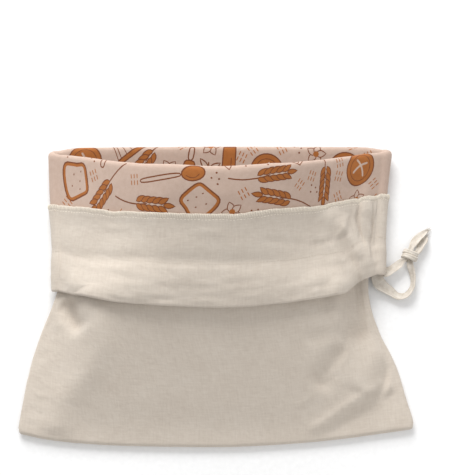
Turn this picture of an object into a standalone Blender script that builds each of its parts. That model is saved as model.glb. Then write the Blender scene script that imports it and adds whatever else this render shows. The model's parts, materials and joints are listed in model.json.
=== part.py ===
"""Linen bread bag lying on its back, with its mouth open and turned down as a cuff.

One pouch of natural cloth, a printed lining inside it that shows on the cuff, and a flat
drawcord with an overhand knot at the right side. Tables are in millimetres, +Y is toward
the mouth and Z = 0 is the table.
"""
import math

import bmesh
import bpy
import numpy as np
from mathutils import Vector

MM = 0.001
CLOTH = 1.0            # thickness of each cloth
LAYER = 1.45           # from the middle of one cloth to the middle of the next
RIM = 2.8              # fold radius at the sides and the bottom
CORNER = 6.0           # rounding of the bottom corners seen from above
CENTRE_Y = 4.5         # the middle of the bag's length, moved to the origin
TAPE_WIDTH = 9.0
TAPE_THICK = 1.6
TAPE_STEP = 2.4        # between the points of a cord's route

# Body by station: left and right side fold, height of the back over the table.
SIDES = (
    # y,    left,    right,  back
    (-129.0, -173.6, 173.6, 0.5),
    (-116.0, -173.0, 173.4, 0.5),
    (-85.0, -168.0, 166.3, 0.5),
    (-56.0, -161.6, 157.2, 0.5),
    (-30.0, -153.6, 144.4, 1.4),
    (-6.0, -144.6, 136.4, 4.2),
    (8.0, -140.2, 134.4, 5.0),
    (30.0, -138.9, 134.8, 5.0),
    (57.0, -141.0, 139.0, 5.0),
    (90.0, -143.2, 146.0, 5.2),
    (115.0, -144.4, 150.4, 6.4),
    (138.0, -144.8, 151.4, 8.4),
)

# Height of the middle of the front, by distance from the bottom edge.
CROWN = (
    # up,    z
    (0.0, 5.5),
    (14.0, 8.4),
    (40.0, 18.0),
    (70.0, 29.5),
    (117.0, 47.0),
    (150.0, 58.5),
    (188.0, 71.5),
    (214.0, 80.5),
    (232.0, 83.0),
    (262.0, 83.5),
)

# Share of the crown's height across the front, from the middle (0) to a side (1).
ACROSS = (
    # side,  low,   mouth
    (0.00, 1.000, 1.000),
    (0.17, 0.990, 0.975),
    (0.33, 0.965, 0.890),
    (0.50, 0.920, 0.690),
    (0.64, 0.840, 0.460),
    (0.76, 0.620, 0.285),
    (0.88, 0.270, 0.120),
    (1.00, 0.000, 0.000),
)
# Between these distances from the bottom edge the low shape turns into the mouth's.
LOW_UNTIL, MOUTH_FROM = 95.0, 190.0

# The cloth's cross lines by place across each panel, and the column of each line.
BOTTOM, MOUTH, HEM, LIP = 1, 2, 3, 4
FRONT_LINES = (
    # side,  bottom,  mouth,   hem,    lip
    (-1.00, -119.4, 6.6, 82.0, 126.2),
    (-0.80, -125.6, -2.0, 76.0, 118.8),
    (-0.60, -128.2, -7.8, 69.6, 110.2),
    (-0.35, -129.8, -10.6, 64.4, 102.4),
    (0.00, -130.4, -12.4, 62.2, 98.6),
    (0.35, -128.2, -9.2, 68.4, 103.8),
    (0.65, -123.4, -2.4, 78.0, 114.2),
    (0.77, -120.8, 2.4, 83.0, 119.2),
    (0.88, -118.0, 16.2, 87.8, 123.8),
    (1.00, -115.2, 21.6, 91.6, 128.2),
)
BACK_LINES = (
    # side,  bottom,  mouth,   hem,    lip
    (-1.00, -119.4, 8.0, 84.0, 130.4),
    (-0.88, -123.8, 14.0, 90.0, 133.0),
    (-0.50, -129.2, 27.0, 99.0, 133.8),
    (0.00, -130.4, 32.0, 102.0, 134.2),
    (0.50, -125.8, 31.0, 102.0, 134.0),
    (0.88, -118.0, 26.0, 97.0, 133.6),
    (1.00, -115.2, 22.4, 92.6, 131.4),
)

# Cuff by place down its length (0 at the lip, 1 at the mouth's edge).
CUFF = (
    # down,  left,   right,  clear, rest
    (0.00, -149.4, 156.4, 5.2, 3.5),
    (0.30, -147.6, 152.2, 3.5, 3.5),
    (0.45, -146.0, 150.6, 3.5, 3.5),
    (0.60, -144.6, 149.6, 3.8, 2.9),
    (0.80, -143.8, 148.6, 5.0, 2.4),
    (1.00, -143.4, 148.0, 6.4, 2.3),
)

# Folds of the body's front and of the cuff: ridges are positive and troughs negative.
BODY_FOLDS = (
    # x0,     y0,    x1,     y1,   width, height
    (-146.0, 6.0, -110.0, -26.0, 8.0, -4.5),
    (-118.0, 0.0, -100.0, -46.0, 13.0, 3.5),
    (-102.0, -46.0, -138.0, -86.0, 13.0, 3.0),
    (-138.0, -86.0, -144.0, -122.0, 12.0, 2.0),
    (105.0, 8.0, 107.0, -40.0, 8.0, 4.5),
    (126.0, 10.0, 127.0, -32.0, 6.5, -5.5),
    (117.0, -30.0, 94.0, -74.0, 7.0, -3.5),
    (82.0, -38.0, 106.0, -33.0, 6.0, -2.5),
    (152.0, -58.0, 140.0, -88.0, 6.0, -1.5),
    (142.0, -80.0, 84.0, -119.0, 9.0, -3.0),
    (128.0, -60.0, 104.0, -84.0, 12.0, 2.5),
)
CUFF_FOLDS = (
    (102.0, 66.0, 134.0, 24.0, 8.0, 3.6),
    (120.0, 70.0, 138.0, 30.0, 5.5, -1.6),
    (145.0, 92.0, 140.0, 48.0, 5.0, -1.6),
    (151.0, 84.0, 143.0, 30.0, 4.5, 1.8),
    (132.0, 88.0, 136.0, 34.0, 5.0, 2.6),
    (-143.0, 32.0, 60.0, 24.0, 6.0, -1.0),
    (-110.0, 78.0, -60.0, 6.0, 16.0, 1.6),
)
FOLD_FADE = 0.25       # share of a fold's length over which each of its ends fades out

# Soft waves that stand up in the back panel at the waist.
BACK_WAVES = (
    # x, y, width, length, height
    (-88.0, 0.0, 12.0, 46.0, 7.0),
    (-24.0, -6.0, 13.0, 44.0, 5.5),
    (38.0, -2.0, 12.0, 46.0, 6.5),
    (98.0, 2.0, 11.0, 44.0, 8.0),
)

# Drawcord by route point: place, degrees that the tape is turned from flat, share of its width.
STRAND_A = (
    # x,    y,    z,   turn, width
    (151.3, 21.8, 6.6, 50.0, 0.65),
    (154.6, 24.2, 5.8, 42.0, 0.78),
    (159.0, 27.4, 5.2, 32.0, 1.00),
    (163.2, 31.0, 5.2, 20.0, 0.86),
    (165.9, 33.9, 5.8, 10.0, 0.60),
)
STRAND_B = (
    # x,    y,    z,   turn, width
    (143.4, 17.3, 6.6, 6.0, 1.20),
    (144.4, 14.4, 6.2, 8.0, 1.25),
    (148.4, 10.8, 5.4, 12.0, 1.20),
    (154.4, 7.0, 4.0, 20.0, 1.05),
    (161.6, 2.4, 3.4, 34.0, 0.92),
    (168.6, 3.0, 3.8, 48.0, 0.85),
    (173.8, 8.8, 4.0, 56.0, 0.78),
    (175.4, 16.4, 4.0, 54.0, 0.74),
    (174.4, 24.4, 4.6, 40.0, 0.70),
    (172.8, 30.4, 5.8, 12.0, 0.60),
)
TAIL_A = (
    # x,    y,    z,   turn, width
    (174.2, 46.0, 5.8, 10.0, 0.56),
    (177.6, 51.2, 4.4, 34.0, 0.90),
    (182.6, 56.4, 3.4, 30.0, 0.82),
    (188.6, 61.6, 2.4, 15.0, 0.35),
)
TAIL_B = (
    # x,    y,    z,   turn, width
    (179.6, 42.0, 5.6, 10.0, 0.56),
    (183.4, 48.2, 4.2, 34.0, 0.85),
    (186.0, 52.6, 3.2, 26.0, 0.80),
    (187.6, 56.2, 2.4, 15.0, 0.40),
)
KNOT_PLACE = (172.4, 38.2, 6.2)
KNOT_SIZE = (17.0, 13.4, 11.6)
KNOT_TURN = -16.0      # degrees about Z
FURROWS, FURROW_DEPTH, FURROW_SLANT = 3, 0.07, 14.0

# The front and the back level out within these distances from a side or from the bottom.
SIDE_FADE, BACK_FADE, CUFF_FADE, BOTTOM_FADE = 0.06, 0.14, 0.12, 14.0
SIDE_CLEAR = 0.55      # share of the cuff's clearance that is left at the sides
LEAST_CLEAR = 2.2

# Places across the front and the back, closer together where the cloth is folded.
PLACES = (-1.0, -0.93, -0.86, -0.78, -0.68, -0.56, -0.42, -0.26, -0.08, 0.10, 0.27, 0.42,
          0.54, 0.64, 0.72, 0.78, 0.835, 0.885, 0.93, 0.967, 1.0)
FOLD_TURNS = (50.0, 0.0, -50.0)          # degrees round a side fold
BODY_ROWS = (0.0, 0.035, 0.08, 0.145, 0.21, 0.275, 0.34, 0.405, 0.47, 0.54, 0.63, 0.73, 0.83, 0.92, 1.0)
BAND_ROWS = (0.0, 0.16, 0.42, 0.70, 1.0)      # lip to hem
FACING_ROWS = (0.12, 0.26, 0.43, 0.60, 0.78, 1.0)   # hem to the mouth's edge
FACING_CLEAR = (2.9, 2.9, 2.35, 2.0, 1.8, 1.7, 1.7)     # from the cuff's cloth, hem row first
LIP_TURNS = (45.0, 90.0, 135.0)
EDGE_TURNS = (60.0, 120.0)
CORNER_TURN = 30.0     # where the side's outermost line ends on the bottom corner, in degrees
LEAST_COS = 0.72       # limits how far a sharp fold's offset is drawn out


def curve(table, column, at):
    """Smooth reading of a table's column, without overshoot between its rows."""
    keys = np.array([row[0] for row in table])
    values = np.array([row[column] for row in table])
    at = min(max(at, keys[0]), keys[-1])
    slopes = np.diff(values) / np.diff(keys)
    i = min(int(np.searchsorted(keys, at, side="right")) - 1, len(keys) - 2)
    step = keys[i + 1] - keys[i]
    t = (at - keys[i]) / step
    low = tangent(slopes[max(0, i - 1)], slopes[i])
    high = tangent(slopes[i], slopes[min(i + 1, len(slopes) - 1)])
    return ((1 + 2 * t) * (1 - t) ** 2 * values[i] + t * (1 - t) ** 2 * step * low
            + t * t * (3 - 2 * t) * values[i + 1] - t * t * (1 - t) * step * high)


def tangent(before, after):
    """Slope at a row between two slopes: none where they differ in sign."""
    return 2 * before * after / (before + after) if before * after > 0 else 0.0


def ease(t):
    t = min(max(t, 0.0), 1.0)
    return t * t * (3 - 2 * t)


def fold_height(folds, x, y):
    """Sum of soft ridges and troughs at a point, each fading out at its ends."""
    total = 0.0
    for x0, y0, x1, y1, width, height in folds:
        along_x, along_y = x1 - x0, y1 - y0
        length = math.hypot(along_x, along_y)
        t = ((x - x0) * along_x + (y - y0) * along_y) / length ** 2
        off = ((x - x0) * along_y - (y - y0) * along_x) / length
        ends = ease((t + FOLD_FADE) / FOLD_FADE) * ease((1 + FOLD_FADE - t) / FOLD_FADE)
        total += height * ends * math.exp(-(off / width) ** 2)
    return total


def back_height(x, y):
    """Height of the back panel's middle surface."""
    height = curve(SIDES, 3, y)
    for wave_x, wave_y, width, length, lift in BACK_WAVES:
        height += lift * math.exp(-((x - wave_x) / width) ** 2 - ((y - wave_y) / length) ** 4)
    return height


def front_height(x, y):
    """Height of the front panel's middle surface."""
    left, right = curve(SIDES, 1, y), curve(SIDES, 2, y)
    side = max(-1.0, min(1.0, (2 * x - left - right) / (right - left - 2 * RIM)))
    up = max(0.0, y - curve(FRONT_LINES, 1, side))
    edge = curve(SIDES, 3, y) + 2 * RIM
    mouth = ease((up - LOW_UNTIL) / (MOUTH_FROM - LOW_UNTIL))
    share = (1 - mouth) * curve(ACROSS, 1, abs(side)) + mouth * curve(ACROSS, 2, abs(side))
    rise = max(0.0, curve(CROWN, 1, up) - edge)
    fade = ease(up / BOTTOM_FADE) * ease((1 - abs(side)) / SIDE_FADE)
    height = edge + rise * share + fade * fold_height(BODY_FOLDS, x, y)
    return max(height, back_height(x, y) + 2 * RIM)


def side_fold(left, right, low, high, side, turn):
    """Point on the rounded fold of a side, turn degrees up from its outermost line."""
    radius = (high - low) / 2
    out = radius * math.cos(math.radians(turn))
    x = right - radius + out if side > 0 else left + radius - out
    return x, (low + high) / 2 + radius * math.sin(math.radians(turn))


def columns():
    """The columns round the bag as (panel, place, turn), from the left fold over the front."""
    around = [("fold", -1, turn) for turn in reversed(FOLD_TURNS)]
    around += [("front", place, 0.0) for place in PLACES]
    around += [("fold", 1, turn) for turn in FOLD_TURNS]
    around += [("back", place, 0.0) for place in reversed(PLACES)]
    return around


def line_y(line, panel, place):
    """Where a cross line runs in a column."""
    front, back = curve(FRONT_LINES, line, place), curve(BACK_LINES, line, place)
    return {"front": front, "back": back, "fold": (front + back) / 2}[panel]


def body_point(panel, place, turn, y):
    """Middle of the outer cloth on the body."""
    near = max(0.0, CORNER - (y - line_y(BOTTOM, panel, place)))
    inset = CORNER - math.sqrt(CORNER ** 2 - near ** 2)
    left, right = curve(SIDES, 1, y) + inset, curve(SIDES, 2, y) - inset
    low = curve(SIDES, 3, y)
    if panel == "fold":
        x, z = side_fold(left, right, low, low + 2 * RIM, place, turn)
        return np.array([x, y, z])
    x = (left + right) / 2 + place * ((right - left) / 2 - RIM)
    if panel == "front":
        return np.array([x, y, front_height(x, y)])
    return np.array([x, y, low + ease((1 - abs(place)) / BACK_FADE) * (back_height(x, y) - low)])


def cuff_point(panel, place, turn, y, down):
    """Middle of the outer cloth on the cuff."""
    left, right, clear, low = (curve(CUFF, k, down) for k in (1, 2, 3, 4))
    edge = curve(SIDES, 3, y) + 2 * RIM
    lift = max(LEAST_CLEAR, SIDE_CLEAR * clear)
    if panel == "fold":
        x, z = side_fold(left, right, low, edge + lift, place, turn)
        return np.array([x, y, z])
    radius = (edge + lift - low) / 2
    x = (left + right) / 2 + place * ((right - left) / 2 - radius)
    if panel == "back":
        return np.array([x, y, low])
    inside = max(curve(SIDES, 1, y) + RIM, min(curve(SIDES, 2, y) - RIM, x))
    more = clear - lift + fold_height(CUFF_FOLDS, x, y)
    return np.array([x, y, front_height(inside, y) + lift + ease((1 - abs(place)) / CUFF_FADE) * more])


def half_circle(start, end, along, turns):
    """Points on the half circle from start to end that bulges toward along."""
    middle, half = (start + end) / 2, (end - start) / 2
    radius = np.linalg.norm(half)
    out = along - half * (along @ half) / radius ** 2
    out = out / np.linalg.norm(out) * radius
    return [middle - half * math.cos(math.radians(a)) + out * math.sin(math.radians(a)) for a in turns]


def offset_ways(points, faces):
    """For each point the way that moves it one unit off all its faces."""
    beside = [[] for _ in points]
    for face in faces:
        a, b, c, d = (points[i] for i in face)
        normal = np.cross(c - a, d - b)
        normal = normal / np.linalg.norm(normal)
        for i in face:
            beside[i].append(normal)
    ways = []
    for normals in beside:
        mean = np.mean(normals, axis=0)
        mean = mean / np.linalg.norm(mean)
        ways.append(mean / max(LEAST_COS, float(np.mean(normals @ mean))))
    return np.array(ways)


def join_rows(faces, low, high):
    """Faces between two closed rows."""
    for i, j in zip(range(len(low)), [*range(1, len(low)), 0]):
        faces.append((low[i], low[j], high[j], high[i]))


def bag_grid():
    """Middle surface of the outer cloth from its bottom edge to the mouth's edge."""
    around = columns()
    points, faces, rows = [], [], []

    def add_row(row):
        rows.append(list(range(len(points), len(points) + len(row))))
        points.extend(row)

    for share in BODY_ROWS:
        row = []
        for panel, place, turn in around:
            bottom, lip = line_y(BOTTOM, panel, place) + RIM, line_y(LIP, panel, place)
            row.append(body_point(panel, place, turn, bottom + share * (lip - bottom)))
        add_row(row)
    starts = [points[i] for i in rows[-1]]
    alongs = [points[i] - points[j] for i, j in zip(rows[-1], rows[-2])]
    ends = [cuff_point(panel, place, turn, line_y(LIP, panel, place), 0.0) for panel, place, turn in around]
    for turn_row in zip(*(half_circle(s, e, a, LIP_TURNS) for s, e, a in zip(starts, ends, alongs))):
        add_row(list(turn_row))
    for upper, lower, shares in ((LIP, HEM, BAND_ROWS), (HEM, MOUTH, FACING_ROWS)):
        for share in shares:
            row = []
            for panel, place, turn in around:
                lip, mouth = line_y(LIP, panel, place), line_y(MOUTH, panel, place)
                start, end = line_y(upper, panel, place), line_y(lower, panel, place)
                y = start + share * (end - start)
                row.append(cuff_point(panel, place, turn, y, (lip - y) / (lip - mouth)))
            add_row(row)
    for low, high in zip(rows, rows[1:]):
        join_rows(faces, low, high)
    close_bottom(points, faces, rows[0], around)
    return points, faces, rows


def close_bottom(points, faces, row, around):
    """Round the pouch's bottom edge over from the front to the back."""
    first = FOLD_TURNS.index(0.0)
    half = list(range(first, first + len(PLACES) + len(FOLD_TURNS) + 1))
    mates = [(2 * first - i) % len(around) for i in half]
    front, edge, back = [], [], []
    for i, mate in zip(half, mates):
        panel, place, turn = around[i]
        centre = (points[row[i]] + points[row[mate]]) / 2
        outward = np.array([0.0, -RIM, 0.0])
        if panel == "fold":
            side = np.array([float(place), 0.0, 0.0])
            centre = centre - side * RIM * math.cos(math.radians(turn))
            swing = math.radians(CORNER_TURN + (90.0 - CORNER_TURN) * abs(turn) / 90.0)
            outward = RIM * (side * math.cos(swing) + np.array([0.0, -math.sin(swing), 0.0]))
        edge.append(len(points))
        points.append(centre + outward)
        for ring, end in ((front, i), (back, mate)):
            if ring is back and mate == i:
                back.append(front[-1])
                continue
            way = points[row[end]] - centre + outward
            ring.append(len(points))
            points.append(centre + RIM * way / np.linalg.norm(way))
    top, under = [row[i] for i in half], [row[i] for i in mates]
    for upper, lower in ((top, front), (front, edge), (edge, back), (back, under)):
        for k in range(len(half) - 1):
            faces.append((upper[k + 1], upper[k], lower[k], lower[k + 1]))


def facing_rows(points, ways, rows):
    """Rows of the outer cloth from the mouth's edge, up over the cuff to the hem."""
    first = len(rows) - len(FACING_CLEAR)
    over = [[points[i] - ways[i] * clear for i in row] for row, clear in zip(rows[first:], FACING_CLEAR)]
    arcs = [half_circle(points[i], end, points[i] - points[j], EDGE_TURNS)
            for i, j, end in zip(rows[-1], rows[-2], over[-1])]
    return [list(row) for row in zip(*arcs)] + over[::-1]


def make_sheet(name, points, faces, material):
    """Open surface made into cloth of even thickness."""
    mesh = bpy.data.meshes.new(name)
    bm = bmesh.new()
    verts = [bm.verts.new(Vector((x, y - CENTRE_Y, z)) * MM) for x, y, z in points]
    for face in faces:
        bm.faces.new([verts[i] for i in face])
    bmesh.ops.delete(bm, geom=[v for v in bm.verts if not v.link_faces], context="VERTS")
    bmesh.ops.triangulate(bm, faces=bm.faces[:])
    bm.to_mesh(mesh)
    bm.free()
    mesh.shade_smooth()
    mesh.materials.append(material)
    sheet = bpy.data.objects.new(name, mesh)
    cloth = sheet.modifiers.new("Cloth", "SOLIDIFY")
    cloth.thickness = CLOTH * MM
    cloth.offset = 0.0
    cloth.use_even_offset = True
    bag.objects.link(sheet)


def make_pouch():
    """Outer cloth with its facing, and the lining one layer away from it."""
    points, faces, rows = bag_grid()
    ways = offset_ways(points, faces)
    count = len(points)
    lining_until = len(rows) - len(FACING_CLEAR) + 1
    kept = {i for row in rows[:lining_until + 1] for i in row} | set(range(rows[-1][-1] + 1, count))
    lining_points = [p - way * LAYER for p, way in zip(points, ways)]
    make_sheet("lining", lining_points, [f for f in faces if kept.issuperset(f)], printed)
    last = rows[-1]
    for row in facing_rows(points, ways, rows):
        new = list(range(len(points), len(points) + len(row)))
        points.extend(row)
        join_rows(faces, last, new)
        last = new
    make_sheet("outer_bag", points, faces, natural)


def smooth_route(table, step):
    """Points on a smooth curve through a route's rows, about a step apart."""
    rows = np.array(table, float)
    ahead = np.vstack([2 * rows[0] - rows[1], rows, 2 * rows[-1] - rows[-2]])
    route = []
    for k in range(1, len(ahead) - 2):
        p0, p1, p2, p3 = ahead[k - 1:k + 3]
        count = max(2, round(float(np.linalg.norm(p2[:3] - p1[:3])) / step))
        for t in np.arange(count) / count:
            route.append(0.5 * (2 * p1 + (p2 - p0) * t + (2 * p0 - 5 * p1 + 4 * p2 - p3) * t ** 2
                                + (3 * p1 - p0 - 3 * p2 + p3) * t ** 3))
    route.append(rows[-1])
    return route


def make_tape(name, table, material):
    """Flat cord as a beveled and extruded curve with closed ends."""
    route = smooth_route(table, TAPE_STEP)
    data = bpy.data.curves.new(name, "CURVE")
    data.dimensions = "3D"
    data.twist_mode = "Z_UP"
    data.extrude = (TAPE_WIDTH - TAPE_THICK) / 2 * MM
    data.bevel_depth = TAPE_THICK / 2 * MM
    data.bevel_resolution = 2
    data.use_fill_caps = True
    spline = data.splines.new("POLY")
    spline.points.add(len(route) - 1)
    for point, (x, y, z, turn, width) in zip(spline.points, route):
        point.co = (x * MM, (y - CENTRE_Y) * MM, z * MM, 1.0)
        point.tilt = math.radians(90.0 - turn)
        point.radius = width
    data.materials.append(material)
    cord = bpy.data.objects.new(name, data)
    bag.objects.link(cord)


def make_knot(name, material):
    """Overhand knot as one soft form with the furrows of its turns."""
    mesh = bpy.data.meshes.new(name)
    bm = bmesh.new()
    bmesh.ops.create_uvsphere(bm, u_segments=20, v_segments=12, radius=0.5)
    for v in bm.verts:
        turn = math.atan2(v.co.z, v.co.y)
        furrow = 1.0 + FURROW_DEPTH * math.cos(FURROWS * turn + FURROW_SLANT * v.co.x)
        sizes = (KNOT_SIZE[0], KNOT_SIZE[1] * furrow, KNOT_SIZE[2] * furrow)
        v.co = Vector([c * size * MM for c, size in zip(v.co, sizes)])
    bm.to_mesh(mesh)
    bm.free()
    mesh.shade_smooth()
    mesh.materials.append(material)
    knot = bpy.data.objects.new(name, mesh)
    knot.location = (KNOT_PLACE[0] * MM, (KNOT_PLACE[1] - CENTRE_Y) * MM, KNOT_PLACE[2] * MM)
    knot.rotation_euler = (0.0, 0.0, math.radians(KNOT_TURN))
    bag.objects.link(knot)


def cloth_material(name, colour, roughness):
    material = bpy.data.materials.new(name)
    material.use_nodes = True
    shader = material.node_tree.nodes["Principled BSDF"]
    shader.inputs["Base Color"].default_value = (*colour, 1.0)
    shader.inputs["Roughness"].default_value = roughness
    shader.inputs["Metallic"].default_value = 0.0
    return material


for old in list(bpy.data.objects):
    bpy.data.objects.remove(old, do_unlink=True)
bag = bpy.data.collections.new("Linen bread bag")
bpy.context.scene.collection.children.link(bag)

natural = cloth_material("Natural linen", (0.63, 0.57, 0.49), 0.92)
printed = cloth_material("Printed cotton lining", (0.56, 0.49, 0.45), 0.88)
tape = cloth_material("Cotton drawcord", (0.74, 0.70, 0.62), 0.9)

make_pouch()
make_tape("cord_strand_a", STRAND_A, tape)
make_tape("cord_strand_b", STRAND_B, tape)
make_tape("cord_tail_a", TAIL_A, tape)
make_tape("cord_tail_b", TAIL_B, tape)
make_knot("cord_knot", tape)
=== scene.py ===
import json
import math

import bmesh
import bpy
import numpy as np
from mathutils import Vector
from mathutils.geometry import delaunay_2d_cdt
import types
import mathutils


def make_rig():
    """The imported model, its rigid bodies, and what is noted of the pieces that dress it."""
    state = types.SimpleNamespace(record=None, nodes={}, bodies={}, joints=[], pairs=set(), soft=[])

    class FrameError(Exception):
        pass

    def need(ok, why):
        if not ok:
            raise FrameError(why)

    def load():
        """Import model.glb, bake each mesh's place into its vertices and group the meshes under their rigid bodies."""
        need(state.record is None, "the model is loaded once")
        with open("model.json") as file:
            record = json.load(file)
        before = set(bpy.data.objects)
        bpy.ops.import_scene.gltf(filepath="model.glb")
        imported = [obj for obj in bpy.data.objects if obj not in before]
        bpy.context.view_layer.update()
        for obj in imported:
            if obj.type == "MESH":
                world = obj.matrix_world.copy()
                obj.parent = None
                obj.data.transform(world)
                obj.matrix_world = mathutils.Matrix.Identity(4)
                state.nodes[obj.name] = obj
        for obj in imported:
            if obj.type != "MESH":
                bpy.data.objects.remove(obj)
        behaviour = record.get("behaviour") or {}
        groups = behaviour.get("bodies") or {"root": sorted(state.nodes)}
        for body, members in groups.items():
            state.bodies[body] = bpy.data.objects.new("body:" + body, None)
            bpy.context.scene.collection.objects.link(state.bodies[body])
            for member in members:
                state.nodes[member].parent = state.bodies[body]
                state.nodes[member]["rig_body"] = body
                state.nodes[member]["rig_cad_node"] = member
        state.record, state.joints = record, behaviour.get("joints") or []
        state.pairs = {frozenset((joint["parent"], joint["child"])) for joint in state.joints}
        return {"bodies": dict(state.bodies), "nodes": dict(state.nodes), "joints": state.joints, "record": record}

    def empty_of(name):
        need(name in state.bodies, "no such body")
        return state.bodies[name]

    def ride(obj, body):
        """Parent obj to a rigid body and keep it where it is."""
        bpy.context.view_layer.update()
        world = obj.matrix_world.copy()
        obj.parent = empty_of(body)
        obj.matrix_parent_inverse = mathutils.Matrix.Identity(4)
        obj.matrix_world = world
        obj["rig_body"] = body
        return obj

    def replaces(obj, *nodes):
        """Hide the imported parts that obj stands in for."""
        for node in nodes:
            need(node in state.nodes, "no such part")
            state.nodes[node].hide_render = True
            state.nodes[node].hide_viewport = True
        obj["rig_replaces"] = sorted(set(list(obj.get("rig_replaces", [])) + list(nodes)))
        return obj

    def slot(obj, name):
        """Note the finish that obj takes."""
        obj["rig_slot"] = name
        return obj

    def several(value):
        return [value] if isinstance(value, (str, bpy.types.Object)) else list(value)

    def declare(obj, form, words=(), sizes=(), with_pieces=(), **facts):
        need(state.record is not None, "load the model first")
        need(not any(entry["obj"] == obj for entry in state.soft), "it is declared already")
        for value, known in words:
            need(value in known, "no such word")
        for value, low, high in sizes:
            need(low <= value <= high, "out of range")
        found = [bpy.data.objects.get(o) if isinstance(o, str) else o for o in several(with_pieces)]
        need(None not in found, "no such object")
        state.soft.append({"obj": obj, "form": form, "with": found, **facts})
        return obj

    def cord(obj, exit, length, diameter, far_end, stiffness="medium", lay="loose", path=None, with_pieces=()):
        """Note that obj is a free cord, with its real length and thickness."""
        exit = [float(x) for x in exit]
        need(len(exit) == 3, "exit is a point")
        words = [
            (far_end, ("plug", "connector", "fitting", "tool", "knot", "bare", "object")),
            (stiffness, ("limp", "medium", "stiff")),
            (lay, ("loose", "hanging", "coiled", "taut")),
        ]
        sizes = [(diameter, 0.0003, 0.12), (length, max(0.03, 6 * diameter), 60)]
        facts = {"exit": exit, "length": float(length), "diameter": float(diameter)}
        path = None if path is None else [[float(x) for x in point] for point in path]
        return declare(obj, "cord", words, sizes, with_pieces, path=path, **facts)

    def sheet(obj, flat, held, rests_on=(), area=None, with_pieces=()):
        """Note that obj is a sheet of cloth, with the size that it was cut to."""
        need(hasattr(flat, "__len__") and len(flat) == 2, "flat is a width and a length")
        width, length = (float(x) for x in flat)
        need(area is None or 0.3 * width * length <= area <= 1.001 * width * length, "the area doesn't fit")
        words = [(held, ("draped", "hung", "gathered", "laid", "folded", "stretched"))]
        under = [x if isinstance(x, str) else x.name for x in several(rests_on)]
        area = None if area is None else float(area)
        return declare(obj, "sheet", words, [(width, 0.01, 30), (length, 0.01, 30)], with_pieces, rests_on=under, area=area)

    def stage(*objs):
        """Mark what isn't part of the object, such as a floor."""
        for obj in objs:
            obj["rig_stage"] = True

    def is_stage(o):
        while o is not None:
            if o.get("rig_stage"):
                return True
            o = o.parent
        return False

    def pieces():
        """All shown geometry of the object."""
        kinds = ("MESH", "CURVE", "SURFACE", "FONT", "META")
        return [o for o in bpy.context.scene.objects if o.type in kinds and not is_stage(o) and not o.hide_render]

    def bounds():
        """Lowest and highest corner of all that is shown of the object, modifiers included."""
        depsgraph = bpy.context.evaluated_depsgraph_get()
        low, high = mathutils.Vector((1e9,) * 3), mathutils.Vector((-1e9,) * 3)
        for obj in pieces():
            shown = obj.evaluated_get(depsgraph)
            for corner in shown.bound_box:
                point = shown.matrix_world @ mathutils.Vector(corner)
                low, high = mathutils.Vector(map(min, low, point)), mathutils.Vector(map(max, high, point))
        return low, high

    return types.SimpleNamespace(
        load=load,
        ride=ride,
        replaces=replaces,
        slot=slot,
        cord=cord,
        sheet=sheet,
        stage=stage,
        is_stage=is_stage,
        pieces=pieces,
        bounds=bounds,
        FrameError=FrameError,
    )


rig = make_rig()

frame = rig.load()
cadLow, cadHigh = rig.bounds()

# Tables are in millimetres, with +Y toward the mouth and Z = 0 on the table.
mm = 0.001
centreY = 4.5  # the middle of the bag's length, moved to the origin

cloth = {
    "linen": 0.8,  # thickness
    "lining": 0.5,
    "layer": 1.3,  # middle of the linen to middle of the lining
    "rim": 2.8,  # fold radius at the sides and the bottom
    "corner": 6.0,
}

# left and right side fold of the body, and the height of its back
sides = (
    # y,    left,    right,  back
    (-129.0, -173.6, 173.6, 0.5),
    (-116.0, -173.0, 173.4, 0.5),
    (-85.0, -168.0, 166.3, 0.5),
    (-56.0, -161.6, 157.2, 0.5),
    (-30.0, -153.6, 144.4, 1.4),
    (-6.0, -144.6, 136.4, 4.2),
    (8.0, -140.2, 134.4, 5.0),
    (30.0, -138.9, 134.8, 5.0),
    (57.0, -141.0, 139.0, 5.0),
    (90.0, -143.2, 146.0, 5.2),
    (115.0, -144.4, 150.4, 6.4),
    (138.0, -144.8, 151.4, 8.4),
)

# height of the middle of the front, by distance from the bottom edge
crown = (
    # up,    z
    (0.0, 5.5),
    (14.0, 8.4),
    (40.0, 18.0),
    (70.0, 29.5),
    (117.0, 47.0),
    (150.0, 58.5),
    (188.0, 71.5),
    (214.0, 80.5),
    (232.0, 83.0),
    (262.0, 83.5),
)

# share of the crown's height across the front, from the middle to a side
across = (
    # side,  low,   mouth
    (0.00, 1.000, 1.000),
    (0.17, 0.990, 0.975),
    (0.33, 0.965, 0.890),
    (0.50, 0.920, 0.690),
    (0.64, 0.840, 0.460),
    (0.76, 0.620, 0.285),
    (0.88, 0.270, 0.120),
    (1.00, 0.000, 0.000),
)
lowUntil, mouthFrom = 95.0, 190.0  # the low shape turns into the mouth's between these

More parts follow.
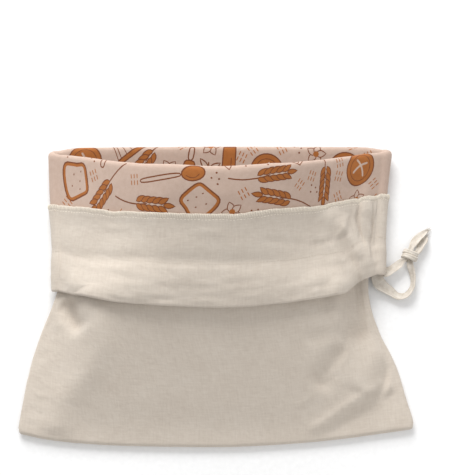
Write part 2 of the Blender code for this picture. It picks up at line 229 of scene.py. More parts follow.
# cross lines of the cloth by place across a panel
bottomLine, mouthLine, hemLine, lipLine = 1, 2, 3, 4
frontLines = (
    # side,  bottom,  mouth,   hem,    lip
    (-1.00, -119.4, 6.6, 82.0, 126.2),
    (-0.80, -125.6, -2.0, 76.0, 118.8),
    (-0.60, -128.2, -7.8, 69.6, 110.2),
    (-0.35, -129.8, -10.6, 64.4, 102.4),
    (0.00, -130.4, -12.4, 62.2, 98.6),
    (0.35, -128.2, -9.2, 68.4, 103.8),
    (0.65, -123.4, -2.4, 78.0, 114.2),
    (0.77, -120.8, 2.4, 83.0, 119.2),
    (0.88, -118.0, 16.2, 87.8, 123.8),
    (1.00, -115.2, 21.6, 91.6, 128.2),
)
backLines = (
    # side,  bottom,  mouth,   hem,    lip
    (-1.00, -119.4, 8.0, 84.0, 130.4),
    (-0.88, -123.8, 14.0, 90.0, 133.0),
    (-0.50, -129.2, 27.0, 99.0, 133.8),
    (0.00, -130.4, 32.0, 102.0, 134.2),
    (0.50, -125.8, 31.0, 102.0, 134.0),
    (0.88, -118.0, 26.0, 97.0, 133.6),
    (1.00, -115.2, 22.4, 92.6, 131.4),
)

# the cuff by place down its length: its sides, its clearance from the body, its height at the back
cuffShape = (
    # down,  left,   right,  clear, rest
    (0.00, -149.4, 156.4, 5.2, 3.5),
    (0.30, -147.6, 152.2, 3.5, 3.5),
    (0.45, -146.0, 150.6, 3.5, 3.5),
    (0.60, -144.6, 149.6, 3.8, 2.9),
    (0.80, -143.8, 148.6, 5.0, 2.4),
    (1.00, -143.4, 148.0, 6.4, 2.3),
)

# the facing's distance from the cuff's own cloth, by share from the hem to the mouth's edge
facingClear = (
    # share, clear
    (0.00, 3.35),
    (0.05, 3.25),
    (0.10, 2.75),
    (0.25, 2.35),
    (0.42, 2.30),
    (0.53, 1.80),
    (0.59, 2.50),
    (0.68, 3.40),
    (0.84, 3.70),
    (0.95, 3.30),
    (1.00, 2.70),
)

# the same at the back, where the bag's weight presses it flat
facingFlat = (
    # share, clear
    (0.00, 2.62),
    (0.10, 2.55),
    (0.25, 2.25),
    (0.50, 1.70),
    (1.00, 1.60),
)
liningFlat = 0.3  # how much closer the lining lies to the cuff's own cloth there

# folds of the front and the cuff: ridges are positive and troughs negative
bodyFolds = (
    # x0,     y0,    x1,     y1,   width, height
    (-134.0, -8.0, -119.0, -28.0, 7.5, -4.2),
    (105.0, 8.0, 107.0, -40.0, 8.0, 4.5),
    (126.0, 10.0, 127.0, -32.0, 6.5, -5.5),
    (117.0, -30.0, 94.0, -74.0, 9.0, -5.5),
    (82.0, -38.0, 106.0, -33.0, 6.0, -2.5),
    (152.0, -58.0, 140.0, -88.0, 6.0, -1.5),
    (152.0, -94.0, 98.0, -127.0, 9.0, -3.2),
    (142.0, -79.0, 90.0, -114.0, 7.0, 2.0),
    (145.0, -42.0, 128.0, -78.0, 12.0, 3.6),
)
cuffFolds = (
    (102.0, 66.0, 134.0, 24.0, 8.0, 3.6),
    (120.0, 70.0, 138.0, 30.0, 5.5, -1.6),
    (145.0, 92.0, 140.0, 48.0, 5.0, -1.6),
    (151.0, 84.0, 143.0, 30.0, 4.5, 1.8),
    (132.0, 88.0, 136.0, 34.0, 5.0, 2.6),
    (-143.0, 32.0, 60.0, 24.0, 6.0, -1.0),
    (-110.0, 78.0, -60.0, 6.0, 16.0, 1.6),
)

longCrease = (
    (-116.0, 4.0),
    (-105.0, -24.0),
    (-101.0, -46.0),
    (-112.0, -68.0),
    (-134.0, -90.0),
    (-142.0, -124.0),
)

# Finer creases that the looks add, as lines through points. Lean widens a crease's left side.
bodyCreases = (
    # width, height, lean, points
    (13.0, 3.2, 0.0, longCrease),
    (6.5, -6.0, 0.4, ((-128.0, 0.0), (-126.5, -12.0), (-119.0, -31.0))),
    (2.0, 1.1, 0.3, ((118.0, -28.0), (116.0, -50.0), (107.0, -63.0), (90.0, -76.0))),
    (1.8, 0.9, 0.0, ((117.0, -34.0), (138.0, -17.0))),
    (1.7, 0.8, 0.0, ((78.0, -39.0), (108.0, -33.0))),
    (2.4, -1.1, 0.0, ((152.0, -58.0), (148.0, -78.0), (137.0, -90.0))),
    (2.0, 1.1, 0.0, ((157.0, -60.0), (152.0, -80.0), (145.0, -91.0))),
    (2.0, -0.9, 0.0, ((160.0, -76.0), (156.0, -95.0))),
    (2.0, 0.8, 0.0, ((67.0, -98.0), (88.0, -85.0))),
    (2.6, 1.1, 0.3, ((142.0, -78.0), (114.0, -93.0), (80.0, -118.0))),
    (4.0, 1.1, 0.0, ((-140.0, 1.0), (-139.0, -14.0), (-137.5, -32.0))),
    (2.2, -0.5, 0.0, ((-125.0, -26.0), (-112.0, -37.0))),
    (2.4, 0.4, 0.0, ((-152.0, -52.0), (-138.0, -60.0))),
    (2.2, 0.35, 0.0, ((-160.0, -84.0), (-148.0, -90.0))),
    (3.0, 0.4, 0.0, ((10.0, -24.0), (34.0, -46.0))),
    (2.6, 0.4, 0.0, ((40.0, -52.0), (62.0, -58.0))),
)
cuffCreases = (
    (3.0, -2.2, 0.0, ((144.5, 94.0), (146.0, 79.0), (143.0, 57.0), (140.0, 42.0))),
    (2.2, 1.6, 0.0, ((149.0, 90.0), (150.0, 60.0), (145.0, 37.0), (139.0, 21.0))),
    (2.0, 1.5, 0.0, ((140.5, 88.0), (139.5, 62.0), (137.0, 42.0))),
    (2.2, -1.5, 0.0, ((135.0, 76.0), (136.0, 50.0), (137.0, 30.0))),
    (2.4, 1.3, 0.0, ((130.0, 86.0), (128.5, 58.0), (133.0, 30.0))),
    (1.6, 1.3, 0.0, ((134.0, 90.0), (133.0, 72.0), (134.5, 50.0))),
    (1.5, -1.2, 0.0, ((137.6, 90.0), (137.0, 74.0), (137.6, 58.0))),
    (1.5, 1.5, 0.0, ((144.4, 92.0), (144.6, 70.0), (141.6, 40.0))),
    (1.6, -1.4, 0.0, ((147.2, 92.0), (147.6, 70.0), (144.0, 36.0))),
    (1.5, -1.0, 0.0, ((125.0, 84.0), (124.0, 70.0), (127.0, 54.0))),
    (1.7, 1.0, 0.0, ((120.6, 82.0), (119.0, 66.0), (122.0, 50.0))),
    (3.2, 2.0, 0.4, ((102.0, 66.0), (116.0, 46.0), (126.0, 29.0))),
    (2.4, 1.1, 0.0, ((87.0, 52.0), (100.0, 38.0), (111.0, 25.0))),
    (2.6, -1.4, 0.0, ((80.0, 41.0), (102.0, 47.0), (116.0, 56.0))),
    (2.2, 1.1, 0.0, ((113.0, 74.0), (109.0, 58.0), (99.0, 40.0))),
    (2.2, -1.1, 0.0, ((114.0, 38.0), (125.0, 20.0))),
    (1.9, 1.0, 0.0, ((119.0, 34.0), (129.0, 14.0))),
    (2.4, -0.8, 0.0, ((38.0, 43.0), (76.0, 41.0))),
    (2.6, 0.5, 0.0, ((-20.0, 50.0), (14.0, 46.0))),
    (2.4, 0.5, 0.0, ((-96.0, 58.0), (-70.0, 54.0))),
    (9.0, 1.2, 0.0, ((-130.0, 12.0), (-108.0, 4.0), (-76.0, 0.0))),
)
foldFade = 0.25  # share of a fold's length over which each of its ends fades out
creaseFade = 7.0  # millimetres over which a crease's ends fade out

backWaves = (
    # x, y, width, length, height
    (-88.0, 0.0, 12.0, 46.0, 7.0),
    (-24.0, -6.0, 13.0, 44.0, 5.5),
    (38.0, -2.0, 12.0, 46.0, 6.5),
    (98.0, 2.0, 11.0, 44.0, 8.0),
)

# how far in from its edges a part's relief fades in, as a share of half its width
fades = {"front": 0.06, "back": 0.14, "cuff": 0.12, "facing": 0.08}
bottomFade = 14.0  # the same from the bottom edge, in millimetres

# the cuff's clearance from the body at its side folds: a share of its clearance, and the least
sideClear, leastClear = 0.55, 2.2

# seeds of the soft noise in each kind of unevenness
seeds = {
    "front": 11,
    "leftSide": 31,
    "rightSide": 47,
    "sidePucker": 5,
    "cuff": 71,
    "hem": 91,
    "hemFine": 92,
    "stitchPucker": 61,
    "streak": 63,
    "stitch": 88,
    "overlock": 37,
    "overlockEdge": 53,
    "knot": 3,
}


# a smooth curve from start to end over a span, with its slopes at both
def smoothStep(t, span, start, end, startSlope, endSlope):
    low = (1 + 2 * t) * (1 - t) ** 2 * start + t * (1 - t) ** 2 * span * startSlope
    return low + t * t * (3 - 2 * t) * end - t * t * (1 - t) * span * endSlope


def unit(ways):
    return ways / np.linalg.norm(ways, axis=-1, keepdims=True)


# distance run along points, from 0 at the first
def runAlong(points):
    return np.concatenate([[0], np.cumsum(np.linalg.norm(np.diff(points, axis=0), axis=-1))])


# smooth reading of a table's column, without overshoot between its rows
def readTable(table, column, at):
    keys = np.array([row[0] for row in table])
    values = np.array([row[column] for row in table])
    slopes = np.diff(values) / np.diff(keys)
    before, after = np.append(slopes[0], slopes), np.append(slopes, slopes[-1])
    same = before * after > 0
    slope = np.where(same, 2 * before * after / np.where(same, before + after, 1.0), 0.0)
    at = np.clip(at, keys[0], keys[-1])
    i = np.clip(np.searchsorted(keys, at, side="right") - 1, 0, len(keys) - 2)
    step = keys[i + 1] - keys[i]
    t = (at - keys[i]) / step
    return smoothStep(t, step, values[i], values[i + 1], slope[i], slope[i + 1])


def ease(t):
    t = np.clip(t, 0.0, 1.0)
    return t * t * (3 - 2 * t)


# smooth bumps from -1 to 1, about one to each size
def softNoise(x, y, size, seed):
    count = 64
    lattice = np.random.default_rng(seed).uniform(-1.0, 1.0, (count, count))
    x, y = np.asarray(x) / size + count, np.asarray(y) / size + count
    i, j = np.floor(x).astype(int), np.floor(y).astype(int)
    s, t = ease(x - i), ease(y - j)
    i0, i1, j0, j1 = i % count, (i + 1) % count, j % count, (j + 1) % count
    low = lattice[i0, j0] * (1 - s) + lattice[i1, j0] * s
    return low * (1 - t) + (lattice[i0, j1] * (1 - s) + lattice[i1, j1] * s) * t


# sum of soft straight ridges and troughs, each fading out past its ends
def foldHeight(folds, x, y):
    total = np.zeros_like(x)
    for x0, y0, x1, y1, width, height in folds:
        alongX, alongY = x1 - x0, y1 - y0
        length = math.hypot(alongX, alongY)
        t = ((x - x0) * alongX + (y - y0) * alongY) / length**2
        off = ((x - x0) * alongY - (y - y0) * alongX) / length
        ends = ease((t + foldFade) / foldFade) * ease((1 + foldFade - t) / foldFade)
        total += height * ends * np.exp(-((off / width) ** 2))
    return total


# sum of narrow creases along lines through points
def creaseHeight(creases, x, y):
    total = np.zeros_like(x)
    for width, height, lean, points in creases:
        best = np.full_like(x, np.inf)
        side, along, start = np.zeros_like(x), np.zeros_like(x), 0.0
        for (x0, y0), (x1, y1) in zip(points, points[1:]):
            dx, dy = x1 - x0, y1 - y0
            length = math.hypot(dx, dy)
            t = np.clip(((x - x0) * dx + (y - y0) * dy) / length**2, 0.0, 1.0)
            off = np.hypot(x - x0 - t * dx, y - y0 - t * dy)
            nearer = off < best
            best = np.where(nearer, off, best)
            along = np.where(nearer, start + t * length, along)
            side = np.where(nearer, np.sign(dx * (y - y0) - dy * (x - x0)), side)
            start += length
        ends = ease(along / creaseFade) * ease((start - along) / creaseFade)
        total += height * ends * np.exp(-((best / (width * (1 + lean * side))) ** 2))
    return total


crumple = {
    "body": 0.22,  # height in millimetres
    "cuff": 0.48,
    "cuffRight": 0.95,  # more where the drawcord gathers it
    "gatherFrom": 70.0,
    "gatherTo": 125.0,
    "gatherLift": 1.5,  # of the facing there, so that its troughs clear the cloth beneath
    "hemFade": 12.0,
    "sizes": ((31.0, 1.0), (13.0, 0.55), (6.0, 0.30)),
    "seamWave": 0.45,  # wobble of the side edges
    "lipFade": 0.125,  # share of the body below the lip over which that dies out
    "pucker": 0.8,  # small puckers along the side seams
    "puckerReach": 8.0,
    "puckerSize": 9.0,
    "puckerSquash": 2.2,  # how much shorter they are along the seam
}


def crumpleAt(x, y, seed):
    total = np.zeros_like(x)
    for k, (size, share) in enumerate(crumple["sizes"]):
        total += share * softNoise(x, y, size, seed + k)
    return total


# height of the back panel's middle surface
def backHeight(x, y):
    height = readTable(sides, 3, y)
    for waveX, waveY, width, length, lift in backWaves:
        height = height + lift * np.exp(-(((x - waveX) / width) ** 2) - ((y - waveY) / length) ** 4)
    return height


# height of the front panel's middle surface
def frontHeight(x, y):
    left, right = readTable(sides, 1, y), readTable(sides, 2, y)
    side = np.clip((2 * x - left - right) / (right - left - 2 * cloth["rim"]), -1.0, 1.0)
    up = np.maximum(0.0, y - readTable(frontLines, bottomLine, side))
    edge = readTable(sides, 3, y) + 2 * cloth["rim"]
    mouth = ease((up - lowUntil) / (mouthFrom - lowUntil))
    low, high = readTable(across, 1, abs(side)), readTable(across, 2, abs(side))
    rise = np.maximum(0.0, readTable(crown, 1, up) - edge) * ((1 - mouth) * low + mouth * high)
    folds = foldHeight(bodyFolds, x, y) + creaseHeight(bodyCreases, x, y)
    folds += crumple["body"] * crumpleAt(x, y, seeds["front"])
    fade = ease(up / bottomFade) * ease((1 - abs(side)) / fades["front"])
    return np.maximum(edge + rise + fade * folds, backHeight(x, y) + 2 * cloth["rim"])


# Place round the bag: 0 to 1 is the left fold from below, 1 to 2 the front from the left,
# 2 to 3 the right fold from above, and 3 to 4 the back from the right.
def columnAt(c):
    c = np.mod(c, 4.0)
    place = np.select([c < 1, c <= 2, c < 3], [-1.0, 2 * c - 3, 1.0], 7 - 2 * c)
    turn = np.select([c < 1, c <= 2, c < 3], [180 * c - 90, 90.0, 450 - 180 * c], -90.0)
    return place, np.radians(turn)


def lineY(line, place, turn):
    back = (1 - np.sin(turn)) / 2
    front = readTable(frontLines, line, place)
    return front + back * (readTable(backLines, line, place) - front)


def isFront(c):
    return (c >= 1) & (c <= 2)


def stack(x, y, z):
    return np.stack([x, y, z], axis=-1)


# middle of the outer cloth on the body, by share of the way from the bottom edge to the lip
def bodyAt(c, share):
    place, turn = columnAt(c)
    rim, corner = cloth["rim"], cloth["corner"]
    bottom = lineY(bottomLine, place, turn)
    y = bottom + rim + share * (lineY(lipLine, place, turn) - bottom - rim)
    near = np.clip(corner - (y - bottom), 0.0, corner)
    inset = corner - np.sqrt(corner**2 - near**2)
    wave = crumple["seamWave"] * ease((y - bottom) / bottomFade) * ease((1 - share) / crumple["lipFade"])
    left = readTable(sides, 1, y) + inset + wave * crumpleAt(y, 0 * y, seeds["leftSide"])
    right = readTable(sides, 2, y) - inset + wave * crumpleAt(y, 0 * y, seeds["rightSide"])
    half, low = (right - left) / 2, readTable(sides, 3, y)
    x = (left + right) / 2 + place * (half - rim) + np.sign(place) * rim * np.cos(turn)
    inside = (1 - abs(place)) * half / crumple["puckerReach"]
    small = softNoise(x, crumple["puckerSquash"] * y, crumple["puckerSize"], seeds["sidePucker"])
    pucker = wave * crumple["pucker"] * inside * np.exp(1 - inside) * small
    front = frontHeight(x, y) + pucker
    back = low + ease((1 - abs(place)) / fades["back"]) * (backHeight(x, y) - low)
    fold = low + rim * (1 + np.sin(turn))
    c = np.mod(c, 4.0)
    return stack(x, y, np.select([isFront(c), c >= 3], [front, back], fold))


# 1 above the hem, and 0 from a little below it: there the facing takes the creases instead
def aboveHem(y, place, turn):
    return ease(1 + (y - lineY(hemLine, place, turn)) / crumple["hemFade"])


# how far the drawcord gathers the cloth, from 0 at the left to 1 at the right
def gatherAt(x):
    return ease((x - crumple["gatherFrom"]) / (crumple["gatherTo"] - crumple["gatherFrom"]))


# middle of the outer cloth on the cuff, by place down its length
def cuffAt(c, y, down):
    place, turn = columnAt(c)
    left, right, clear, low = (readTable(cuffShape, k, down) for k in (1, 2, 3, 4))
    edge = readTable(sides, 3, y) + 2 * cloth["rim"]
    lift = np.maximum(leastClear, sideClear * clear)
    radius = (edge + lift - low) / 2
    x = (left + right) / 2 + place * ((right - left) / 2 - radius)
    x = x + np.sign(place) * radius * np.cos(turn)
    rim = cloth["rim"]
    inside = np.clip(x, readTable(sides, 1, y) + rim, readTable(sides, 2, y) - rim)
    rough = crumple["cuff"] + gatherAt(x) * (crumple["cuffRight"] - crumple["cuff"])
    more = clear - lift + foldHeight(cuffFolds, x, y) + rough * crumpleAt(x, y, seeds["cuff"])
    more = more + aboveHem(y, place, turn) * creaseHeight(cuffCreases, x, y)
    front = frontHeight(inside, y) + lift + ease((1 - abs(place)) / fades["cuff"]) * more
    fold = low + radius * (1 + np.sin(turn))
    c = np.mod(c, 4.0)
    return stack(x, y, np.select([isFront(c), c >= 3], [front, low + 0 * y], fold))


# points on the half circle from start to end that bulges toward along
def halfCircle(start, end, along, angle):
    middle, half = (start + end) / 2, (end - start) / 2
    radius = np.linalg.norm(half, axis=-1, keepdims=True)
    out = unit(along - half * np.sum(along * half, axis=-1, keepdims=True) / radius**2) * radius
    angle = np.expand_dims(angle, -1)
    return middle - half * np.cos(angle) + out * np.sin(angle)


# Middle of the outer cloth by place round the bag and place along the cloth: 0 to 1 is the body
# from the bottom up, 1 to 2 the turn at the lip, 2 to 3 the cuff down to the hem's line, and
# 3 to 4 on to the mouth's edge.
def outerAt(c, r):
    c, r = np.broadcast_arrays(np.asarray(c, float), np.asarray(r, float))
    place, turn = columnAt(c)
    lip, hem, mouth = (lineY(line, place, turn) for line in (lipLine, hemLine, mouthLine))
    body = bodyAt(c, np.clip(r, 0.0, 1.0))
    y = np.where(r < 3, lip + np.clip(r - 2, 0, 1) * (hem - lip), hem + (r - 3) * (mouth - hem))
    cuff = cuffAt(c, y, (lip - y) / (lip - mouth))
    little = 0.004
    along = bodyAt(c, 1 + 0 * c) - bodyAt(c, 1 - little + 0 * c)
    arc = halfCircle(body, cuff, along, np.pi * np.clip(r - 1, 0, 1))
    r = np.expand_dims(r, -1)
    return np.where(r <= 1, body, np.where(r < 2, arc, cuff))


# the way off the cloth's outer face, which turns over with the cloth at the lip
def normalAt(c, r, stepC=0.004, stepR=0.006):
    c, r = np.broadcast_arrays(np.asarray(c, float), np.asarray(r, float))
    acrossWay = outerAt(c + stepC, r) - outerAt(c - stepC, r)
    alongWay = outerAt(c, np.minimum(r + stepR, 4)) - outerAt(c, np.maximum(r - stepR, 0))
    return unit(np.cross(acrossWay, alongWay))


# a layer of cloth at a distance from the outer cloth, on the side of the hollow
def layerAt(c, r, clear):
    return outerAt(c, r) - normalAt(c, r) * np.expand_dims(clear, -1)


# sRGB hex to the linear colour that the shaders take
def hexColour(value):
    parts = [int(value[i : i + 2], 16) / 255 for i in (1, 3, 5)]
    linear = [p / 12.92 if p <= 0.04045 else ((p + 0.055) / 1.055) ** 2.4 for p in parts]
    return (*linear, 1.0)


# a node with its settings, which are attributes, sockets or a ramp's stops, and its links
def addNode(tree, kind, settings=None, links=None):
    node = tree.nodes.new("ShaderNode" + kind)
    for name, value in (settings or {}).items():
        if name == "stops":
            ramp = node.color_ramp.elements
            while len(ramp) < len(value):
                ramp.new(0.5)
            for element, (place, colour) in zip(ramp, value):
                element.position, element.color = place, hexColour(colour)
        elif isinstance(name, str) and hasattr(node, name):
            setattr(node, name, value)
        else:
            node.inputs[name].default_value = value
    for name, source in (links or {}).items():
        tree.links.new(source, node.inputs[name])
    return node


def newMaterial(name, settings):
    material = bpy.data.materials.new(name)
    material.use_nodes = True
    shader = material.node_tree.nodes["Principled BSDF"]
    for socket, value in settings.items():
        shader.inputs[socket].default_value = value
    return material, material.node_tree, shader


toMm = (1 / mm, 1 / mm, 1 / mm)  # a Mapping's scale that turns metres into millimetres


# yarns over and under each other, as a height from 0 to 1, with the cloth's UV in millimetres
def addPlainWeave(tree, uvMm, spacing):
    parts = addNode(tree, "SeparateXYZ", links={0: uvMm})
    waves = []
    for axis in ("X", "Y"):
        settings = {"operation": "MULTIPLY", 1: math.pi / spacing}
        scaled = addNode(tree, "Math", settings, {0: parts.outputs[axis]})
        wave = addNode(tree, "Math", {"operation": "SINE"}, {0: scaled.outputs[0]})
        waves.append(wave.outputs[0])
    over = addNode(tree, "Math", {"operation": "MULTIPLY"}, {0: waves[0], 1: waves[1]})
    warp = addNode(tree, "Math", {"operation": "ABSOLUTE"}, {0: waves[0]})
    weft = addNode(tree, "Math", {"operation": "ABSOLUTE"}, {0: waves[1]})
    side = addNode(tree, "Math", {"operation": "GREATER_THAN", 1: 0.0}, {0: over.outputs[0]})
    links = {0: side.outputs[0], 2: warp.outputs[0], 3: weft.outputs[0]}
    height = addNode(tree, "Mix", {"data_type": "FLOAT"}, links)
    return height.outputs[0]


linenLook = {
    "name": "unbleachedLinen",
    "shade": "#c2b6a9",
    "base": "#cbc0b3",
    "light": "#d3c9bd",
    "fleck": "#9a8a74",
    "yarn": 0.95,  # real yarns are 0.5 mm apart, drawn about twice as coarse so that they show
    "slub": 11.0,  # length of a thick place in a yarn
    "slubWide": 0.7,  # and its width, in yarns
    "cloud": 34.0,  # size of lighter and darker patches
    "fleckEvery": 9.0,
    "fleckSize": 0.035,
    "fleckLong": 1.6,
    "fleckDark": 0.45,
    "slubHigh": 0.6,  # of a thick place, in heights of the weave
    "crinkle": 5.5,
    "crinkleHigh": 0.9,
}


# Unbleached linen, plain woven and washed soft: uneven yarns with thick places, a few dark
# flecks of husk, a dry matt face with a faint fuzz.
def makeLinen(look):
    face = {"Roughness": 0.93, "IOR": 1.5, "Specular IOR Level": 0.22}
    fuzz = {"Sheen Weight": 0.18, "Sheen Roughness": 0.55}
    material, tree, shader = newMaterial(look["name"], {**face, **fuzz})
    uv = addNode(tree, "UVMap", {"uv_map": "cloth"})
    flat = addNode(tree, "Mapping", {"Scale": toMm}, {"Vector": uv.outputs["UV"]})
    weave = addPlainWeave(tree, flat.outputs[0], look["yarn"])
    long, thin = 1 / look["slub"], look["slubWide"] / look["yarn"]
    slubs = []
    for stretch, offset in (((long, thin, 1), (0, 0, 0)), ((thin, long * 0.8, 1), (17, 5, 0))):
        settings = {"Scale": stretch, "Location": offset}
        yarns = addNode(tree, "Mapping", settings, {"Vector": flat.outputs[0]})
        settings = {"Scale": 1.0, "Detail": 3.0, "Roughness": 0.62}
        noise = addNode(tree, "TexNoise", settings, {"Vector": yarns.outputs[0]})
        slubs.append(noise.outputs["Fac"])
    both = addNode(tree, "Math", {"operation": "ADD"}, {0: slubs[0], 1: slubs[1]})
    settings = {"Scale": 1 / look["cloud"], "Detail": 4.0, "Roughness": 0.6}
    cloud = addNode(tree, "TexNoise", settings, {"Vector": flat.outputs[0]})
    settings = {"operation": "MULTIPLY_ADD", 1: 0.8}
    tone = addNode(tree, "Math", settings, {0: cloud.outputs["Fac"], 2: both.outputs[0]})
    level = addNode(tree, "MapRange", {"From Min": 0.9, "From Max": 1.9}, {"Value": tone.outputs[0]})
    stops = ((0.0, look["shade"]), (0.5, look["base"]), (1.0, look["light"]))
    colour = addNode(tree, "ValToRGB", {"stops": stops}, {"Fac": level.outputs["Result"]})
    settings = {"Scale": (1.0, look["fleckLong"], 1.0)}
    husks = addNode(tree, "Mapping", settings, {"Vector": flat.outputs[0]})
    settings = {"Scale": 1 / look["fleckEvery"], "Randomness": 1.0}
    cells = addNode(tree, "TexVoronoi", settings, {"Vector": husks.outputs[0]})
    settings = {"operation": "LESS_THAN", 1: look["fleckSize"]}
    fleck = addNode(tree, "Math", settings, {0: cells.outputs["Distance"]})
    part = addNode(tree, "Math", {"operation": "MULTIPLY", 1: look["fleckDark"]}, {0: fleck.outputs[0]})
    settings = {"data_type": "RGBA", 7: hexColour(look["fleck"])}
    flecked = addNode(tree, "Mix", settings, {0: part.outputs[0], 6: colour.outputs[0]})
    tree.links.new(flecked.outputs[2], shader.inputs["Base Color"])
    settings = {"operation": "MULTIPLY_ADD", 1: look["slubHigh"]}
    raised = addNode(tree, "Math", settings, {0: both.outputs[0], 2: weave})
    settings = {"Strength": 0.28, "Distance": 0.25 * mm}
    bump = addNode(tree, "Bump", settings, {"Height": raised.outputs[0]})
    settings = {"Scale": 1 / look["crinkle"], "Detail": 5.0, "Roughness": 0.58}
    crinkle = addNode(tree, "TexNoise", settings, {"Vector": flat.outputs[0]})
    settings = {"Strength": 0.6, "Distance": look["crinkleHigh"] * mm}
    soft = addNode(tree, "Bump", settings, {"Height": crinkle.outputs["Fac"], "Normal": bump.outputs[0]})
    tree.links.new(soft.outputs[0], shader.inputs["Normal"])
    return material


cottonLook = {
    "yarn": 0.7,  # real yarns are 0.35 mm apart, drawn about twice as coarse so that they show
    "cloud": 4.0,  # size of paler and fuller patches of ink
    "inks": (
        ("printedCottonGround", "#b59d8e", "#c2ac9e"),
        ("amberInkOnCotton", "#985827", "#a86935"),
        ("brownInkOnCotton", "#69391e", "#7e4a2d"),
    ),
}


# Plain woven cotton with a pigment print: a finer and flatter weave than the linen, and ink
# that sinks in, so the yarns show through it and its tone is a little uneven.
def makeCotton(look):
    made = []
    for name, low, high in look["inks"]:
        face = {"Roughness": 0.88, "IOR": 1.5, "Specular IOR Level": 0.25}
        fuzz = {"Sheen Weight": 0.10, "Sheen Roughness": 0.5}
        material, tree, shader = newMaterial(name, {**face, **fuzz})
        uv = addNode(tree, "UVMap", {"uv_map": "cloth"})
        flat = addNode(tree, "Mapping", {"Scale": toMm}, {"Vector": uv.outputs["UV"]})
        weave = addPlainWeave(tree, flat.outputs[0], look["yarn"])
        settings = {"Scale": 1 / look["cloud"], "Detail": 6.0, "Roughness": 0.7}
        cloud = addNode(tree, "TexNoise", settings, {"Vector": flat.outputs[0]})
        settings = {"operation": "MULTIPLY_ADD", 1: 0.25}
        tone = addNode(tree, "Math", settings, {0: weave, 2: cloud.outputs["Fac"]})
        settings = {"From Min": 0.35, "From Max": 0.95}
        level = addNode(tree, "MapRange", settings, {"Value": tone.outputs[0]})
        stops = ((0.0, low), (1.0, high))
        ramp = addNode(tree, "ValToRGB", {"stops": stops}, {"Fac": level.outputs["Result"]})
        tree.links.new(ramp.outputs["Color"], shader.inputs["Base Color"])
        bump = addNode(tree, "Bump", {"Strength": 0.2, "Distance": 0.15 * mm}, {"Height": weave})
        tree.links.new(bump.outputs[0], shader.inputs["Normal"])
        made.append(material)
    return made


tapeLook = {
    "name": "cottonTwillTape",
    "shade": "#b6ab9b",
    "base": "#d2cabf",
    "light": "#e4ddd4",
    "rib": 1.1,
    "cloud": 6.0,
}


# Undyed cotton tape, twill woven: fine ribs on a slant, soft and a little glossier than the bag.
def makeTape(look):
    face = {"Roughness": 0.85, "IOR": 1.5, "Specular IOR Level": 0.28}
    fuzz = {"Sheen Weight": 0.22, "Sheen Roughness": 0.45}
    material, tree, shader = newMaterial(look["name"], {**face, **fuzz})
    uv = addNode(tree, "UVMap", {"uv_map": "cloth"})
    flat = addNode(tree, "Mapping", {"Scale": toMm}, {"Vector": uv.outputs["UV"]})
    settings = {"wave_type": "BANDS", "bands_direction": "DIAGONAL", "Distortion": 0.8, "Detail": 2.0}
    settings["Scale"] = 1 / (2 * look["rib"])
    ribs = addNode(tree, "TexWave", settings, {"Vector": flat.outputs[0]})
    settings = {"Scale": 1 / look["cloud"], "Detail": 5.0, "Roughness": 0.65}
    cloud = addNode(tree, "TexNoise", settings, {"Vector": flat.outputs[0]})
    settings = {"operation": "MULTIPLY_ADD", 1: 0.1}
    tone = addNode(tree, "Math", settings, {0: ribs.outputs["Fac"], 2: cloud.outputs["Fac"]})
    level = addNode(tree, "MapRange", {"From Min": 0.3, "From Max": 0.95}, {"Value": tone.outputs[0]})
    stops = ((0.0, look["shade"]), (0.45, look["base"]), (1.0, look["light"]))
    ramp = addNode(tree, "ValToRGB", {"stops": stops}, {"Fac": level.outputs["Result"]})
    tree.links.new(ramp.outputs["Color"], shader.inputs["Base Color"])
    bump = addNode(tree, "Bump", {"Strength": 0.35, "Distance": 0.3 * mm}, {"Height": tone.outputs[0]})
    tree.links.new(bump.outputs[0], shader.inputs["Normal"])
    return material


hemThreadLook = {"name": "spunSewingThread", "low": "#ddd3c3", "high": "#f2ebdd", "twist": 0.8}
channelThreadLook = {"name": "spunSewingThreadToned", "low": "#bfb3a4", "high": "#d2c8ba", "twist": 0.8}


# Spun polyester sewing thread: twisted plies that catch a little light.
def makeThread(look):
    face = {"Roughness": 0.7, "IOR": 1.5, "Specular IOR Level": 0.35, "Sheen Weight": 0.1}
    material, tree, shader = newMaterial(look["name"], face)
    place = addNode(tree, "TexCoord")
    settings = {"Scale": 1 / (look["twist"] * mm), "Detail": 2.0}
    noise = addNode(tree, "TexNoise", settings, {"Vector": place.outputs["Object"]})
    stops = ((0.3, look["low"]), (0.7, look["high"]))
    ramp = addNode(tree, "ValToRGB", {"stops": stops}, {"Fac": noise.outputs["Fac"]})
    tree.links.new(ramp.outputs["Color"], shader.inputs["Base Color"])
    settings = {"Strength": 0.3, "Distance": 0.1 * mm}
    bump = addNode(tree, "Bump", settings, {"Height": noise.outputs["Fac"]})
    tree.links.new(bump.outputs[0], shader.inputs["Normal"])
    return material


linen = makeLinen(linenLook)
cottonInks = makeCotton(cottonLook)
tapeCotton = makeTape(tapeLook)
hemThread = makeThread(hemThreadLook)
channelThread = makeThread(channelThreadLook)
print("materials made")


# a mesh object from points in table millimetres, with UV in millimetres by face corner
def makePiece(name, points, faces, materials, cornerUv=None, inks=None):
    mesh = bpy.data.meshes.new(name)
    placed = (np.asarray(points) - (0.0, centreY, 0.0)) * mm
    mesh.from_pydata(placed.tolist(), [], faces)
    if cornerUv is not None:
        layer = mesh.uv_layers.new(name="cloth")
        layer.data.foreach_set("uv", (np.asarray(cornerUv, float) * mm).ravel())
    for material in materials:
        mesh.materials.append(material)
    if inks is not None:
        mesh.polygons.foreach_set("material_index", inks)
    mesh.shade_smooth()
    piece = bpy.data.objects.new(name, mesh)
    bpy.context.scene.collection.objects.link(piece)
    return piece


